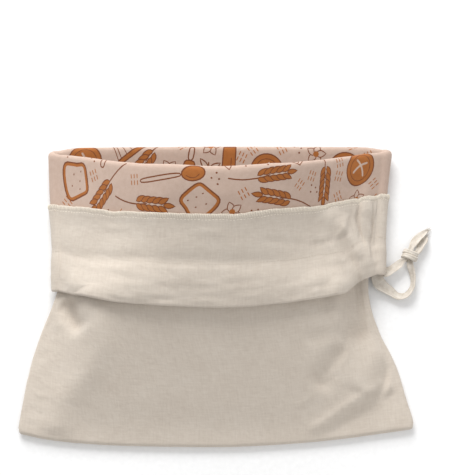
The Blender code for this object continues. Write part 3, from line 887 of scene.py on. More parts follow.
# Places round the bag: some round each side fold, and a number on each panel, closer where the
# weights are high.
def columnsRound(count, weights, foldTurns):
    keys = np.linspace(-1, 1, 401)
    weight = np.interp(keys, *zip(*weights))
    total = np.concatenate([[0], np.cumsum((weight[1:] + weight[:-1]) / 2)])
    places = np.interp(np.linspace(0, total[-1], count), total, keys)
    turns = (np.arange(foldTurns) + 1) / (foldTurns + 1)
    return np.concatenate([turns, 1 + (places + 1) / 2, 2 + turns, 3 + (1 - places[::-1]) / 2])


# places along the cloth of its rows: up the body, over the lip, and down the cuff to an end
def rowsAlong(bodyRows, lipRows, cuffRows, end):
    lip = 1 + np.arange(1, lipRows + 1) / (lipRows + 1)
    return np.concatenate([np.linspace(0, 1, bodyRows), lip, np.linspace(2, end, cuffRows)])


# The cloth's own measures of a grid of rows round the bag: how far round its row each point is,
# with one more that closes the row, and how far up the cloth each row is.
def measureCloth(rows):
    around = np.linalg.norm(np.roll(rows, -1, axis=1) - rows, axis=2)
    u = np.concatenate([np.zeros((len(rows), 1)), np.cumsum(around, axis=1)], axis=1)
    v = np.concatenate([[0], np.cumsum(np.linalg.norm(np.diff(rows, axis=0), axis=2).mean(axis=1))])
    return u, v


# Faces between closed rows of as many points, and their UV. Each cell tells the row below a face
# and the column at its left, and each row of u has one more than its points.
def tubeFaces(cells, wide, u, v):
    faces, uv = [], []
    for i, j in cells:
        k = (j + 1) % wide
        low, high = i * wide, (i + 1) * wide
        faces.append((low + j, low + k, high + k, high + j))
        uv += [(u[i, j], v[i]), (u[i, j + 1], v[i])]
        uv += [(u[i + 1, j + 1], v[i + 1]), (u[i + 1, j], v[i + 1])]
    return faces, uv


pouch = {
    "places": 119,  # columns of each panel
    "foldTurns": 7,
    # closer columns where the cloth is folded small
    "closer": ((-1.0, 1.7), (-0.8, 1.3), (-0.5, 0.85), (0.35, 0.8), (0.6, 1.4), (0.8, 2.6), (1.0, 3.2)),
    "bodyRows": 92,
    "lipRows": 5,
    "hiddenRows": 16,  # of the cuff's own cloth, under the facing
    "turnRows": 4,
    "facingRows": 46,
    "bottomRings": 4,
    "hemUnder": (0.0, 0.028, 0.055),  # share of the way back to the mouth's edge
    "hemUnderClear": 2.25,
    "hemThick": 0.84,  # between the middles of the hem's two layers where it is pressed flat
    "hemWave": 0.010,
    "hemWaves": (26, 80),  # long and short waves of its edge on each quarter round the bag
    "hemWaveFade": 0.2,
    "stitchShare": 0.052,
    "stitchDip": 0.22,  # how deep the seam sinks
    "stitchDipWide": 0.012,
    "stitchPucker": 0.6,
    "stitchPuckers": (55, 30),  # on each quarter round the bag, and along the facing
    "channelBulge": 0.42,  # share at which the channel stands highest
    "channelSeam": 0.54,
    "channelSeamWide": 0.10,
    "seamEnds": 0.30,  # place across the front from which the seam no longer sinks
    "seamEndsOver": 0.35,
    "streak": 0.48,  # low crosswise wrinkles below the channel's seam
    "streaks": (15, 20),
    "streakFrom": 0.45,
    "streakOver": 0.15,
}


def hemWobble(c):
    long, short = pouch["hemWaves"]
    wave = softNoise(c * long, 0 * c, 1.0, seeds["hem"])
    return pouch["hemWave"] * (wave + 0.5 * softNoise(c * short, 0 * c, 1.0, seeds["hemFine"]))


# middle of the facing, by share of the way from the hem to the mouth's edge
def facingAt(c, share, lift=0.0):
    c, share = np.broadcast_arrays(np.asarray(c, float), np.asarray(share, float))
    clear = readTable(facingClear, 1, share)
    bulge = readTable(facingClear, 1, np.array(pouch["channelBulge"]))
    place, turn = columnAt(c)
    flatter = ease((place - pouch["seamEnds"]) / pouch["seamEndsOver"])
    nearSeam = np.exp(-(((share - pouch["channelSeam"]) / pouch["channelSeamWide"]) ** 2))
    clear = clear + flatter * nearSeam * (bulge - clear)
    nearStitch = np.exp(-(((share - pouch["stitchShare"]) / pouch["stitchDipWide"]) ** 2))
    dip = pouch["stitchDip"] * nearStitch
    wide, high = pouch["stitchPuckers"]
    pucker = 1 + pouch["stitchPucker"] * softNoise(c * wide, share * high, 1.0, seeds["stitchPucker"])
    wide, high = pouch["streaks"]
    streak = pouch["streak"] * ease((share - pouch["streakFrom"]) / pouch["streakOver"])
    streak = streak * softNoise(c * wide, share * high, 1.0, seeds["streak"])
    moved = share + hemWobble(c) * ease(1 - share / pouch["hemWaveFade"])
    outer, normal = outerAt(c, 3 + moved), normalAt(c, 3 + moved)
    x, y = outer[..., 0], outer[..., 1]
    inside = isFront(c) * ease((1 - abs(place)) / fades["facing"]) * (1 - aboveHem(y, place, turn))
    more = creaseHeight(cuffCreases, x, y) + crumple["gatherLift"] * gatherAt(x)
    clear = clear + streak + inside * more
    flat = (1 - np.sin(turn)) / 2
    clear = clear + flat * (readTable(facingFlat, 1, share) - clear)
    return outer - normal * np.expand_dims(clear - dip * pucker + lift, -1)


# middle of the hem's turned-under cloth
def hemUnderAt(c, share, lift=0.0):
    _, turn = columnAt(c)
    front, flat = pouch["hemUnderClear"], facingFlat[0][1] - pouch["hemThick"]
    clear = front + (1 - np.sin(turn)) / 2 * (flat - front)
    return layerAt(c, 3 + share + hemWobble(c), clear - lift)


# One cloth from the bottom edge up the body, over the lip, down the cuff, round its lower edge,
# up the facing and in under the hem.
def buildPouch():
    columns = columnsRound(pouch["places"], pouch["closer"], pouch["foldTurns"])
    r = rowsAlong(pouch["bodyRows"], pouch["lipRows"], pouch["hiddenRows"], 4)
    rows = list(outerAt(columns, r[:, None]))
    shares = ease(np.linspace(0, 1, pouch["facingRows"]))[::-1]
    facing = list(facingAt(columns, shares[:, None]))
    angles = np.pi * (np.arange(pouch["turnRows"]) + 1) / (pouch["turnRows"] + 1)
    edge = rows[-1]
    along = edge - rows[-2]
    rows += [halfCircle(edge, facing[0], along, angle + 0 * columns) for angle in angles]
    rows += facing
    under = list(hemUnderAt(columns, np.array(pouch["hemUnder"])[:, None]))
    along = facing[-1] - facing[-2]
    rows += [halfCircle(facing[-1], under[0], along, angle + 0 * columns) for angle in angles]
    rows += under
    rows = np.array(rows)
    u, v = measureCloth(rows)
    longest = float(u[:, -1].max())
    middle = pouch["foldTurns"] + pouch["places"] // 2
    u -= u[:, middle : middle + 1]
    points = list(rows.reshape(-1, 3))
    cells = [(i, j) for i in range(len(v) - 1) for j in range(len(columns))]
    faces, uv = tubeFaces(cells, len(columns), u, v)
    closeBottom(points, faces, uv, columns, u[0], cloth["rim"], pouch["bottomRings"])
    piece = makePiece("linen_pouch", points, faces, [linen], uv)
    thick = piece.modifiers.new("clothThickness", "SOLIDIFY")
    thick.thickness = cloth["linen"] * mm
    thick.offset = 0.0
    return piece, float(v[-1]), longest


# Rounds the bottom edge over from the front to the back. The first row of points is the loop of
# columns, and each front column has its mate at the back.
def closeBottom(points, faces, uv, columns, u, radius, rings):
    wide = len(columns)
    loop = np.mod(columns, 4.0)
    first, last = int(np.argmin(abs(loop - 0.5))), int(np.argmin(abs(loop - 2.5)))
    half = np.arange(first, last + 1)
    mates = (2 * first - half) % wide
    start, end = np.array([points[i] for i in half]), np.array([points[i] for i in mates])
    place, turn = columnAt(columns[half])
    centre = (start + end) / 2
    centre[:, 0] -= place * np.where(abs(place) == 1, radius * np.cos(turn), 0.0)
    lean = math.radians(30.0)  # where the sides' outermost line ends on the corner
    swing = lean + (math.pi / 2 - lean) * abs(turn) / (math.pi / 2)
    corner = abs(place) == 1
    outX = np.where(corner, np.sign(place) * np.cos(swing), 0.0)
    outY = np.where(corner, -np.sin(swing), -1.0)
    out = radius * np.stack([outX, outY, 0 * outX], axis=1)
    edges = [half]
    for k in range(1, 2 * rings):
        t = k / rings
        side, share = (start, t) if t <= 1 else (end, 2 - t)
        way = (side - centre) * math.cos(share * math.pi / 2) + out * math.sin(share * math.pi / 2)
        way = way / np.maximum(np.linalg.norm(way, axis=1, keepdims=True), 1e-6) * radius
        ring = []
        for i, p in enumerate(centre + way):
            if t > 1 and mates[i] == half[i]:
                ring.append(edges[2 * rings - k][i])
            else:
                ring.append(len(points))
                points.append(p)
        edges.append(np.array(ring))
    edges.append(mates)
    arc = math.pi * radius / (2 * rings)
    for k, (upper, lower) in enumerate(zip(edges, edges[1:])):
        for i in range(len(half) - 1):
            face = (upper[i + 1], upper[i], lower[i], lower[i + 1])
            corners = [(half[i + 1], -k), (half[i], -k), (half[i], -k - 1), (half[i + 1], -k - 1)]
            kept = [n for n in range(4) if face[n] != face[(n + 1) % 4]]
            if len(kept) < 3:
                continue
            faces.append(tuple(int(face[n]) for n in kept))
            uv += [(u[corners[n][0]], corners[n][1] * arc) for n in kept]


linenPouch, pouchLength, pouchRound = buildPouch()
print("pouch made", len(linenPouch.data.polygons), round(pouchLength), round(pouchRound))
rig.replaces(linenPouch, "outer_bag")
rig.slot(linenPouch, "natural_linen")
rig.ride(linenPouch, "root")


# Motifs are drawn in millimetres about their middle, along X. Each is a list of shapes in the
# order of printing: an ink, and the loops between which it lies.
ground, amber, brown = 0, 1, 2
lineWidth = 0.95


# points about the origin, turned by degrees and then moved
def turnAndMove(px, py, x, y, turn):
    cos, sin = math.cos(math.radians(turn)), math.sin(math.radians(turn))
    return np.stack([x + px * cos - py * sin, y + px * sin + py * cos], axis=1)


# an oval, squarer where the power is under 1
def ovalLoop(x, y, wide, high, turn=0.0, steps=16, power=1.0):
    angles = np.linspace(0, 2 * np.pi, steps, endpoint=False)
    px = wide / 2 * np.sign(np.cos(angles)) * abs(np.cos(angles)) ** power
    py = high / 2 * np.sign(np.sin(angles)) * abs(np.sin(angles)) ** power
    return turnAndMove(px, py, x, y, turn)


# a grain or leaf with a pointed tip, from its root
def grainLoop(x, y, long, wide, turn, steps=7):
    t = np.linspace(0, 1, steps)
    half = wide / 2 * np.sin(np.pi * t**0.8) ** 0.9
    px = np.concatenate([t, t[-2:0:-1]]) * long
    py = np.concatenate([half, -half[-2:0:-1]])
    return turnAndMove(px, py, x, y, turn)


# a closed loop moved out by a distance, or in where it is negative
def grown(loop, by):
    ahead, behind = np.roll(loop, -1, axis=0) - loop, loop - np.roll(loop, 1, axis=0)
    area = np.sum(loop[:, 0] * ahead[:, 1] - loop[:, 1] * ahead[:, 0])
    way = unit(ahead) + unit(behind)
    way /= np.maximum(np.linalg.norm(way, axis=1, keepdims=True), 1e-6)
    return loop + np.stack([way[:, 1], -way[:, 0]], axis=1) * by * np.sign(area)


# an area of ink with a brown line round it
def outlined(loop, ink, width=lineWidth):
    return [(brown, [grown(loop, width / 2)]), (ink, [grown(loop, -width / 2)])]


# a line with pointed ends
def stroke(points, width=lineWidth, ink=brown):
    points = np.array(points, float)
    ahead = unit(np.gradient(points, axis=0))
    off = np.stack([-ahead[:, 1], ahead[:, 0]], axis=1) * width / 2
    tips = points[[0, -1]] + ahead[[0, -1]] * [[-width / 2], [width / 2]]
    return [(ink, [np.concatenate([tips[:1], points + off, tips[1:], (points - off)[::-1]])])]


def arcPoints(x0, y0, x1, y1, rise, steps=7):
    dx, dy = x1 - x0, y1 - y0
    t = np.linspace(0, 1, steps)
    bow = rise * 4 * t * (1 - t) / math.hypot(dx, dy)
    return np.stack([x0 + dx * t - dy * bow, y0 + dy * t + dx * bow], axis=1)


def wheatEar():
    shapes = stroke(arcPoints(-23, -2, 6, 0, 2.0))
    for k in range(5):
        for side in (-1, 1):
            shapes += outlined(grainLoop(-3 + 4.6 * k, side * 0.9, 8.4, 3.6, side * 30, 6), amber, 0.7)
    return shapes + outlined(grainLoop(19, 0, 8.6, 3.6, 0, 6), amber, 0.7)


def barleyEar():
    shapes = stroke(arcPoints(-20, 2, 14, 0, -2.4))
    for k in range(4):
        for side in (-1, 1):
            shapes += outlined(grainLoop(-4 + 5.2 * k, side * 0.8, 7.0, 3.2, side * 38, 6), ground, 0.75)
            shapes += stroke([(1 + 5.2 * k, side * 4.8), (8 + 5.2 * k, side * 7.4)], 0.55)
    return shapes


def oliveSprig():
    shapes = stroke(arcPoints(-19, 0, 17, 1, 3.0, 9))
    for k, x in enumerate((-12, -4, 4, 12)):
        for side in (-1, 1):
            ink = amber if (k + side) % 3 == 0 else ground
            shapes += outlined(grainLoop(x, 2.0 + side * 0.6, 9.5, 3.8, side * 48, 7), ink)
    return shapes


def rollingPin():
    shapes = outlined(ovalLoop(0, 0, 36, 9.6, 0, 20, 0.45), amber)
    for side in (-1, 1):
        shapes += outlined(ovalLoop(side * 23, 0, 10, 4.0, 0, 12, 0.7), ground)
        shapes += stroke([(side * 13.5, -3.6), (side * 13.9, 0), (side * 13.5, 3.6)])
    return shapes + stroke([(-9, 1.6), (6, 1.6)], 0.6)


def crossLoaf():
    shapes = outlined(ovalLoop(0, 0, 27, 25, 0, 28), amber)
    shapes += outlined(ovalLoop(0, 0, 20, 18, 0, 20), amber, 0.6)
    for turn in (35, 125):
        cos, sin = math.cos(math.radians(turn)), math.sin(math.radians(turn))
        shapes += stroke(arcPoints(-7 * cos, -7 * sin, 7 * cos, 7 * sin, 1.4), 1.5, ground)
    return shapes


def breadSlice():
    low, high = ovalLoop(0, -3, 21, 17, 0, 20, 0.5), ovalLoop(0, 5.5, 25, 11, 0, 20, 0.75)
    outer = np.concatenate([low[10:], high[:11]])
    shapes = outlined(outer, amber) + [(ground, [grown(outer, -2.2)])]
    for x, y in ((-4, 1), (3, 4), (1, -4), (-5, -6), (6, -3)):
        shapes += [(brown, [ovalLoop(x, y, 1.5, 1.0, 20, 6)])]
    return shapes


def woodenSpoon():
    shapes = outlined(ovalLoop(15, 0, 16, 10.5, 0, 18), amber)
    shapes += stroke(arcPoints(10, 1, 19, 1, 2.2), 0.6)
    return shapes + outlined(ovalLoop(-9, 0, 31, 3.2, 0, 16, 0.6), ground)


def flutedTin():
    rim, base = np.array([(-13, 7), (13, 7)]), np.array([(9, -7), (-9, -7)])
    shapes = outlined(np.concatenate([rim, base])[::-1], ground)
    for k in range(5):
        t = (k - 2) / 2.4
        shapes += stroke([(t * 12, 6), (t * 8.4, -6.4)], 0.6)
    return shapes + outlined(ovalLoop(0, 8, 29, 3.4, 0, 16, 0.5), amber)


def blossom():
    shapes = []
    for k in range(5):
        shapes += outlined(grainLoop(0, 0, 7.5, 5.0, 72 * k + 18, 6), ground, 0.7)
    return shapes + [(amber, [ovalLoop(0, 0, 4.4, 4.4, 0, 10)])]


def dots():
    places = ((-2.6, -1), (1.6, 2.2), (2.2, -2.4), (-1, 5))
    return [(brown, [ovalLoop(x, y, 1.5, 1.5, 0, 6)]) for x, y in places]


def dashes():
    shapes = []
    for k in range(3):
        shapes += stroke([(-3.2, 2.6 * k - 2.6), (-0.6, 2.6 * k - 2.6)], 0.75, amber)
        shapes += stroke([(1.2, 2.6 * k - 2.6), (3.6, 2.6 * k - 2.6)], 0.75, amber)
    return shapes


printed = {
    "seed": 20,
    "scale": 1.2,
    "gap": 1.0,
    "edge": 1.5,  # least distance from the panel's edges
    "longest": 3.0,  # line of an outline
    "join": 0.02,  # points of outlines closer than this are one
    "tries": 130,  # for each motif
    # a motif's room: points on its middle line, and how far its ends and sides reach in its radius
    "roomPoints": 7,
    "roomEnd": 0.92,
    "roomSide": 1.05,
    "roomLeast": 0.3,
    # how many on each panel
    "motifs": (
        (rollingPin, 12),
        (crossLoaf, 12),
        (wheatEar, 13),
        (breadSlice, 12),
        (oliveSprig, 13),
        (woodenSpoon, 12),
        (flutedTin, 12),
        (barleyEar, 12),
        (blossom, 30),
        (dashes, 60),
        (dots, 80),
    ),
}


# Throws the motifs on a panel, large ones first, each turned at random and clear of the others.
# A motif's room is a straight middle line, tried at a few points, with a radius about it.
def layOut(wide, high, seed):
    draw = np.random.default_rng(seed)
    steps = np.linspace(-1, 1, printed["roomPoints"])[:, None]
    laid, lines, radii = [], np.zeros((0, printed["roomPoints"], 2)), np.zeros(0)
    for motif, count in printed["motifs"]:
        shapes = [(ink, [loop * printed["scale"] for loop in loops]) for ink, loops in motif()]
        outline = np.concatenate([loop for _, loops in shapes for loop in loops])
        middle = (outline.max(axis=0) + outline.min(axis=0)) / 2
        halfLong, radius = (outline.max(axis=0) - outline.min(axis=0)) / 2
        half = max(printed["roomLeast"], halfLong - printed["roomEnd"] * radius)
        for _ in range(count * printed["tries"]):
            turn = draw.uniform(0, 2 * np.pi)
            centre = draw.uniform((0, 0), (wide, high))
            way = np.array([math.cos(turn), math.sin(turn)])
            room = abs(half * way) + radius * printed["roomSide"] + printed["edge"]
            if (centre < room).any() or (centre > np.array([wide, high]) - room).any():
                continue
            line = centre + steps * half * way
            gaps = np.linalg.norm(lines[:, :, None] - line, axis=3).min(axis=(1, 2)) - radii - radius
            if (gaps < printed["gap"]).any():
                continue
            spin = np.array([way, [-way[1], way[0]]])
            turned = [(ink, [(loop - middle) @ spin + centre for loop in loops]) for ink, loops in shapes]
            laid.append(turned)
            lines, radii = np.concatenate([lines, [line]]), np.append(radii, radius)
            count -= 1
            if count == 0:
                break
    return laid


# whether each point is inside a loop
def inLoop(points, loop):
    x, y = points[:, 0, None], points[:, 1, None]
    ahead = np.roll(loop, -1, axis=0)
    cuts = (loop[:, 1] > y) != (ahead[:, 1] > y)
    run = np.where(ahead[:, 1] == loop[:, 1], 1.0, ahead[:, 1] - loop[:, 1])
    at = loop[:, 0] + (y - loop[:, 1]) / run * (ahead[:, 0] - loop[:, 0])
    return (np.sum(cuts & (x < at), axis=1) % 2).astype(bool)


# the same loop with no edge longer than a length, so that it follows the cloth
def divided(loop, long):
    ahead = np.roll(loop, -1, axis=0)
    counts = np.ceil(np.linalg.norm(ahead - loop, axis=1) / long).astype(int)
    parts = [p + (q - p) * (np.arange(n) / n)[:, None] for p, q, n in zip(loop, ahead, counts)]
    return np.concatenate(parts)


# Cuts a flat panel into triangles along the edges of its motifs, and gives each its ink.
def cutPanel(acrossMm, alongMm, seed):
    points, edges = [(x, y) for x in acrossMm for y in alongMm], []
    motifs = layOut(acrossMm[-1], alongMm[-1], seed)
    for shapes in motifs:
        for _, loops in shapes:
            for loop in loops:
                loop = divided(loop, printed["longest"])
                first, count = len(points), len(loop)
                points.extend(map(tuple, loop))
                edges.extend((first + k, first + (k + 1) % count) for k in range(count))
    flat, _, faces, *_ = delaunay_2d_cdt(points, edges, [], 0, printed["join"], False)
    flat, faces = np.array([tuple(p) for p in flat]), np.array([tuple(f) for f in faces])
    middle = flat[faces].mean(axis=1)
    inks = np.zeros(len(faces), int)
    for shapes in motifs:
        for ink, loops in shapes:
            low, high = loops[0].min(axis=0), loops[0].max(axis=0)
            near = np.flatnonzero(((middle >= low) & (middle <= high)).all(axis=1))
            odd = np.zeros(len(near), bool)
            for loop in loops:
                odd ^= inLoop(middle[near], loop)
            inks[near[odd]] = ink
    return flat, faces, inks


lining = {
    "columns": 92,  # lattice of each panel, closer where the cloth is folded small
    "closer": ((-1.0, 1.3), (-0.6, 1.0), (0.5, 0.9), (0.85, 1.5), (1.0, 1.6)),
    "foldTurns": 5,
    "bodyRows": 58,
    "lipRows": 5,
    "cuffRows": 17,
    "bottomRings": 3,
    "loose": 0.35,  # more room from the linen in the hollow
    "looseTo": 0.95,  # share of the way up to the lip
    "looseFade": 0.1,
    "flatFrom": 1.5,  # place along the cloth
    "flatOver": 0.4,
    "weld": 0.004,  # points closer than this are one
    "under": 0.16,  # share of the way from the hem to the mouth's edge, beneath the facing
}


# a face of the lining: looser in the hollow, and closer where the cuff's back presses it flat
def liningAt(c, r, clear):
    _, turn = columnAt(c)
    fade = lining["looseFade"]
    loose = lining["loose"] * ease(r / fade) * ease((lining["looseTo"] - r) / fade)
    flat = liningFlat * (1 - np.sin(turn)) / 2 * ease((r - lining["flatFrom"]) / lining["flatOver"])
    return layerAt(c, r, clear + loose - flat)


# Two layers a thickness apart: the printed face, cut along its motifs, and the plain back.
def buildLining():
    half, rim = cloth["lining"] / 2, cloth["rim"]
    shown, hidden = cloth["layer"] + half, cloth["layer"] - half
    columns = columnsRound(lining["columns"], lining["closer"], lining["foldTurns"])
    end = 3 + lining["under"]
    r = rowsAlong(lining["bodyRows"], lining["lipRows"], lining["cuffRows"], end)
    turned, count = lining["foldTurns"], lining["columns"]
    wide, high = len(columns), len(r)
    grid, back = liningAt(columns, r[:, None], shown), liningAt(columns, r[:, None], hidden)
    arcs, v = measureCloth(grid)
    u = arcs[lining["bodyRows"] - 1]
    strips = (range(-1, turned), range(turned + count - 1, 2 * turned + count))
    points = list(grid.reshape(-1, 3))
    cells = [(i, j % wide) for strip in strips for j in strip for i in range(high - 1)]
    faces, uv = tubeFaces(cells, wide, arcs, v)
    closeBottom(points, faces, uv, columns, arcs[0], rim - shown, lining["bottomRings"])
    inks = [ground] * len(faces)
    for first, seed in ((turned, printed["seed"]), (2 * turned + count, printed["seed"] + 1)):
        flatU = u[first : first + count] - u[first]
        flat, triangles, ink = cutPanel(flatU, v, seed)
        c = np.interp(flat[:, 0], flatU, columns[first : first + count])
        faces.extend((triangles + len(points)).tolist())
        points.extend(liningAt(c, np.interp(flat[:, 1], v, r), shown))
        uv.extend((flat[triangles.ravel()] + (u[first], 0)).tolist())
        inks.extend(ink.tolist())
    printedCount = len(points)
    backPoints = list(back.reshape(-1, 3))
    cells = [(i, j) for j in range(wide) for i in range(high - 1)]
    backFaces, backUv = tubeFaces(cells, wide, arcs, v)
    closeBottom(backPoints, backFaces, backUv, columns, arcs[0], rim - hidden, lining["bottomRings"])
    points += backPoints
    faces += [[printedCount + n for n in face] for face in backFaces]
    uv += backUv
    top = (high - 1) * wide
    outer, inner = v[-1], v[-1] + cloth["lining"]
    for j in range(wide):
        k = (j + 1) % wide
        faces.append([top + j, top + k, printedCount + top + k, printedCount + top + j])
        uv += [(u[j], outer), (u[j + 1], outer), (u[j + 1], inner), (u[j], inner)]
    inks += [ground] * (len(faces) - len(inks))
    piece = makePiece("printed_lining", points, faces, cottonInks, uv, inks)
    sheet = bmesh.new()
    sheet.from_mesh(piece.data)
    bmesh.ops.remove_doubles(sheet, verts=sheet.verts, dist=lining["weld"] * mm)
    bmesh.ops.delete(sheet, geom=[p for p in sheet.verts if not p.link_faces], context="VERTS")
    bmesh.ops.recalc_face_normals(sheet, faces=sheet.faces)
    sheet.to_mesh(piece.data)
    sheet.free()
    return piece, float(v[-1]), float(u[-1])


liningPiece, liningLength, liningRound = buildLining()
print("lining made", len(liningPiece.data.polygons), round(liningLength), round(liningRound))
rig.replaces(liningPiece, "lining")
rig.slot(liningPiece, "printed_lining")
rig.ride(liningPiece, "root")

# routes of the two drawcords in table millimetres, with the tape's turn in degrees and its
# width as a share of its full width
strandA = (
    (147.4, 23.4, 9.3, 20.0, 1.10),
    (151.3, 23.8, 7.0, 26.0, 1.10),
    (154.6, 25.2, 5.8, 30.0, 1.05),
    (159.0, 27.8, 5.2, 30.0, 1.00),
    (163.2, 31.0, 5.2, 20.0, 0.86),
    (165.9, 33.9, 5.8, 10.0, 0.60),
)
throughA = ((169.3, 36.6, 7.2, 6.0, 0.50), (172.6, 41.6, 7.2, 6.0, 0.50))
tailA = (
    (174.2, 46.0, 5.8, 10.0, 0.56),
    (177.6, 51.2, 4.4, 34.0, 0.90),
    (182.6, 56.4, 3.4, 30.0, 0.82),
    (188.6, 61.6, 2.4, 15.0, 0.35),
)
strandB = (
    (142.2, 27.0, 6.6, 4.0, 1.10),
    (142.6, 22.0, 6.8, 4.0, 1.15),
    (143.4, 17.3, 6.6, 6.0, 1.20),
    (144.4, 14.4, 6.2, 8.0, 1.25),
    (148.4, 10.8, 5.4, 12.0, 1.20),
    (154.4, 7.0, 4.0, 20.0, 1.05),
    (161.6, 2.4, 3.4, 34.0, 0.92),
    (168.6, 3.0, 3.8, 48.0, 0.85),
    (173.8, 8.8, 4.0, 56.0, 0.78),
    (175.4, 16.4, 4.0, 54.0, 0.74),
    (174.4, 24.4, 4.6, 40.0, 0.70),
    (172.8, 30.4, 5.8, 12.0, 0.60),
)
throughB = ((173.2, 34.6, 5.0, 6.0, 0.50), (176.0, 38.6, 5.0, 6.0, 0.50))
tailB = (
    (179.6, 42.0, 5.6, 10.0, 0.56),
    (183.4, 48.2, 4.2, 34.0, 0.85),
    (186.0, 52.6, 3.2, 26.0, 0.80),
    (187.6, 56.2, 2.4, 15.0, 0.40),
)
tape = {
    "width": 9.0,
    "thick": 1.5,
    "step": 1.3,
    "section": 28,  # points round the tape
    "groove": 0.5,  # how much thinner it is along its middle
    "grooveWide": 0.30,
    "square": 3.2,  # how square its section is: 2 is round
    "thicker": 0.5,  # how much thicker it gets where it is gathered
    "level": 0.33,  # share of the curl taken off, so that its middle stays on the route
    "curl": 0.15,
    "curlSize": 9.0,
    "endCurl": 0.35,  # more in the loose ends
    "endLong": 17.0,
    "endFade": 8.0,
    "wobble": 0.06,
    "wobbleSize": 5.0,
}


# smooth route through a table's rows, at even steps
def smoothRoute(table, step):
    rows = np.array(table, float)
    at = runAlong(rows[:, :3])
    slope = np.gradient(rows, at, axis=0)
    where = np.linspace(0, at[-1], int(at[-1] / step) + 1)
    i = np.clip(np.searchsorted(at, where, side="right") - 1, 0, len(at) - 2)
    span = (at[i + 1] - at[i])[:, None]
    t = (where - at[i])[:, None] / span
    return smoothStep(t, span, rows[i], rows[i + 1], slope[i], slope[i + 1])


# A woven band along a line: thinner along its middle, with rolled edges. The unit ways across
# the band and off its face are given at each place.
def makeBand(name, centre, wide, flat, width, thick, curl):
    angle = np.linspace(0, 2 * np.pi, tape["section"], endpoint=False)
    side = np.cos(angle)
    body = np.sign(np.sin(angle)) * (1 - abs(side) ** tape["square"]) ** 0.5
    body = body * (1 - tape["groove"] * np.exp(-((side / tape["grooveWide"]) ** 2)))
    width, thick, curl = (np.asarray(value)[:, None] for value in (width, thick, curl))
    off = body * thick / 2 + curl * (side**2 - tape["level"]) * width / 2
    rings = centre[:, None] + wide[:, None] * (side * width / 2)[..., None]
    rings = rings + flat[:, None] * off[..., None]
    count, section = rings.shape[:2]
    around = np.linalg.norm(np.roll(rings[1], -1, axis=0) - rings[1], axis=1)
    u = np.tile(np.concatenate([[0], np.cumsum(around)]), (count, 1))
    v = runAlong(centre)
    points = list(rings.reshape(-1, 3))
    cells = [(i, j) for i in range(count - 1) for j in range(section)]
    faces, uv = tubeFaces(cells, section, u, v)
    for first, place in ((0, 0), ((count - 1) * section, count - 1)):
        points.append(centre[place])
        for j in range(section):
            face = (first + j, len(points) - 1, first + (j + 1) % section)
            faces.append(face[:: 1 if first else -1])
            uv += [(u[0, j], v[place])] * 3
    return makePiece(name, points, faces, [tapeCotton], uv)


def makeCord(name, table, seed):
    route = smoothRoute(table, tape["step"])
    centre, turn, share = route[:, :3], np.radians(route[:, 3]), route[:, 4]
    ahead = unit(np.gradient(centre, axis=0))
    level = unit(np.cross(ahead, (0.0, 0.0, 1.0)))
    upward = np.cross(level, ahead)
    cos, sin = np.cos(turn)[:, None], np.sin(turn)[:, None]
    at = np.arange(len(centre)) * tape["step"]
    wave = tape["wobble"] * softNoise(at, 0 * at, tape["wobbleSize"], seed)
    width = tape["width"] * share * (1 + wave)
    thick = tape["thick"] * (1 + tape["thicker"] * (1 - np.minimum(share, 1.0)))
    loose = ease((at - at[-1] + tape["endLong"]) / tape["endFade"])
    curl = tape["curl"] * (1 + softNoise(at, 0 * at, tape["curlSize"], seed + 1))
    curl = curl + tape["endCurl"] * loose
    wide, flat = level * cos + upward * sin, upward * cos - level * sin
    cord = makeBand(name, centre, wide, flat, width, thick, curl)
    length = float(np.linalg.norm(np.diff(centre, axis=0), axis=1).sum())
    path = [tuple((point - (0.0, centreY, 0.0)) * mm) for point in centre]
    return cord, length * mm, path


knot = {
    "place": (172.6, 38.4, 6.1),
    "axis": 62.0,  # degrees from +X, the way of the tails
    "turns": -2.1,
    "start": 330.0,  # degrees round the axis
    "long": 8.8,  # between the middles of its end turns
    "side": 7.2,  # radii
    "high": 4.7,
    "uneven": 0.11,
    "unevens": 9,
    "tuck": 0.28,  # how suddenly its ends go in: lower is more sudden
    "tuckEnds": 0.02,
    "width": 4.8,
    "endWidth": 0.55,  # share of the width at its ends
    "thick": 2.0,
    "curl": 0.1,
    "curlBack": 0.35,
    "steps": 90,
}


# The knot's turns: one band wound round the two cords, its ends tucked between them.
def makeKnot():
    angle = math.radians(knot["axis"])
    axis = np.array([math.cos(angle), math.sin(angle), 0.0])
    across = np.array([math.sin(angle), -math.cos(angle), 0.0])
    upward = np.array([0.0, 0.0, 1.0])
    t = np.linspace(0, 1, knot["steps"])
    angles = (np.radians(knot["start"]) + 2 * np.pi * knot["turns"] * t)[:, None]
    tuck = np.sin(np.pi * np.clip(t, knot["tuckEnds"], 1 - knot["tuckEnds"])) ** knot["tuck"]
    bulge = 1 + knot["uneven"] * softNoise(t * knot["unevens"], 0 * t, 1.0, seeds["knot"])
    out = across * np.cos(angles) * knot["side"] + upward * np.sin(angles) * knot["high"]
    centre = np.array(knot["place"]) + axis * (knot["long"] * (t - 0.5))[:, None]
    centre = centre + out * (tuck * bulge)[:, None]
    ahead = unit(np.gradient(centre, axis=0))
    flat = unit(out - ahead * np.sum(out * ahead, axis=1, keepdims=True))
    wide = np.cross(ahead, flat)
    ends = knot["endWidth"] + (1 - knot["endWidth"]) * np.sin(np.pi * t) ** 0.5
    width, thick = knot["width"] * ends, knot["thick"] + 0 * t
    curl = knot["curl"] - knot["curlBack"] * ends
    return makeBand("cord_knot_turns", centre, wide, flat, width, thick, curl)


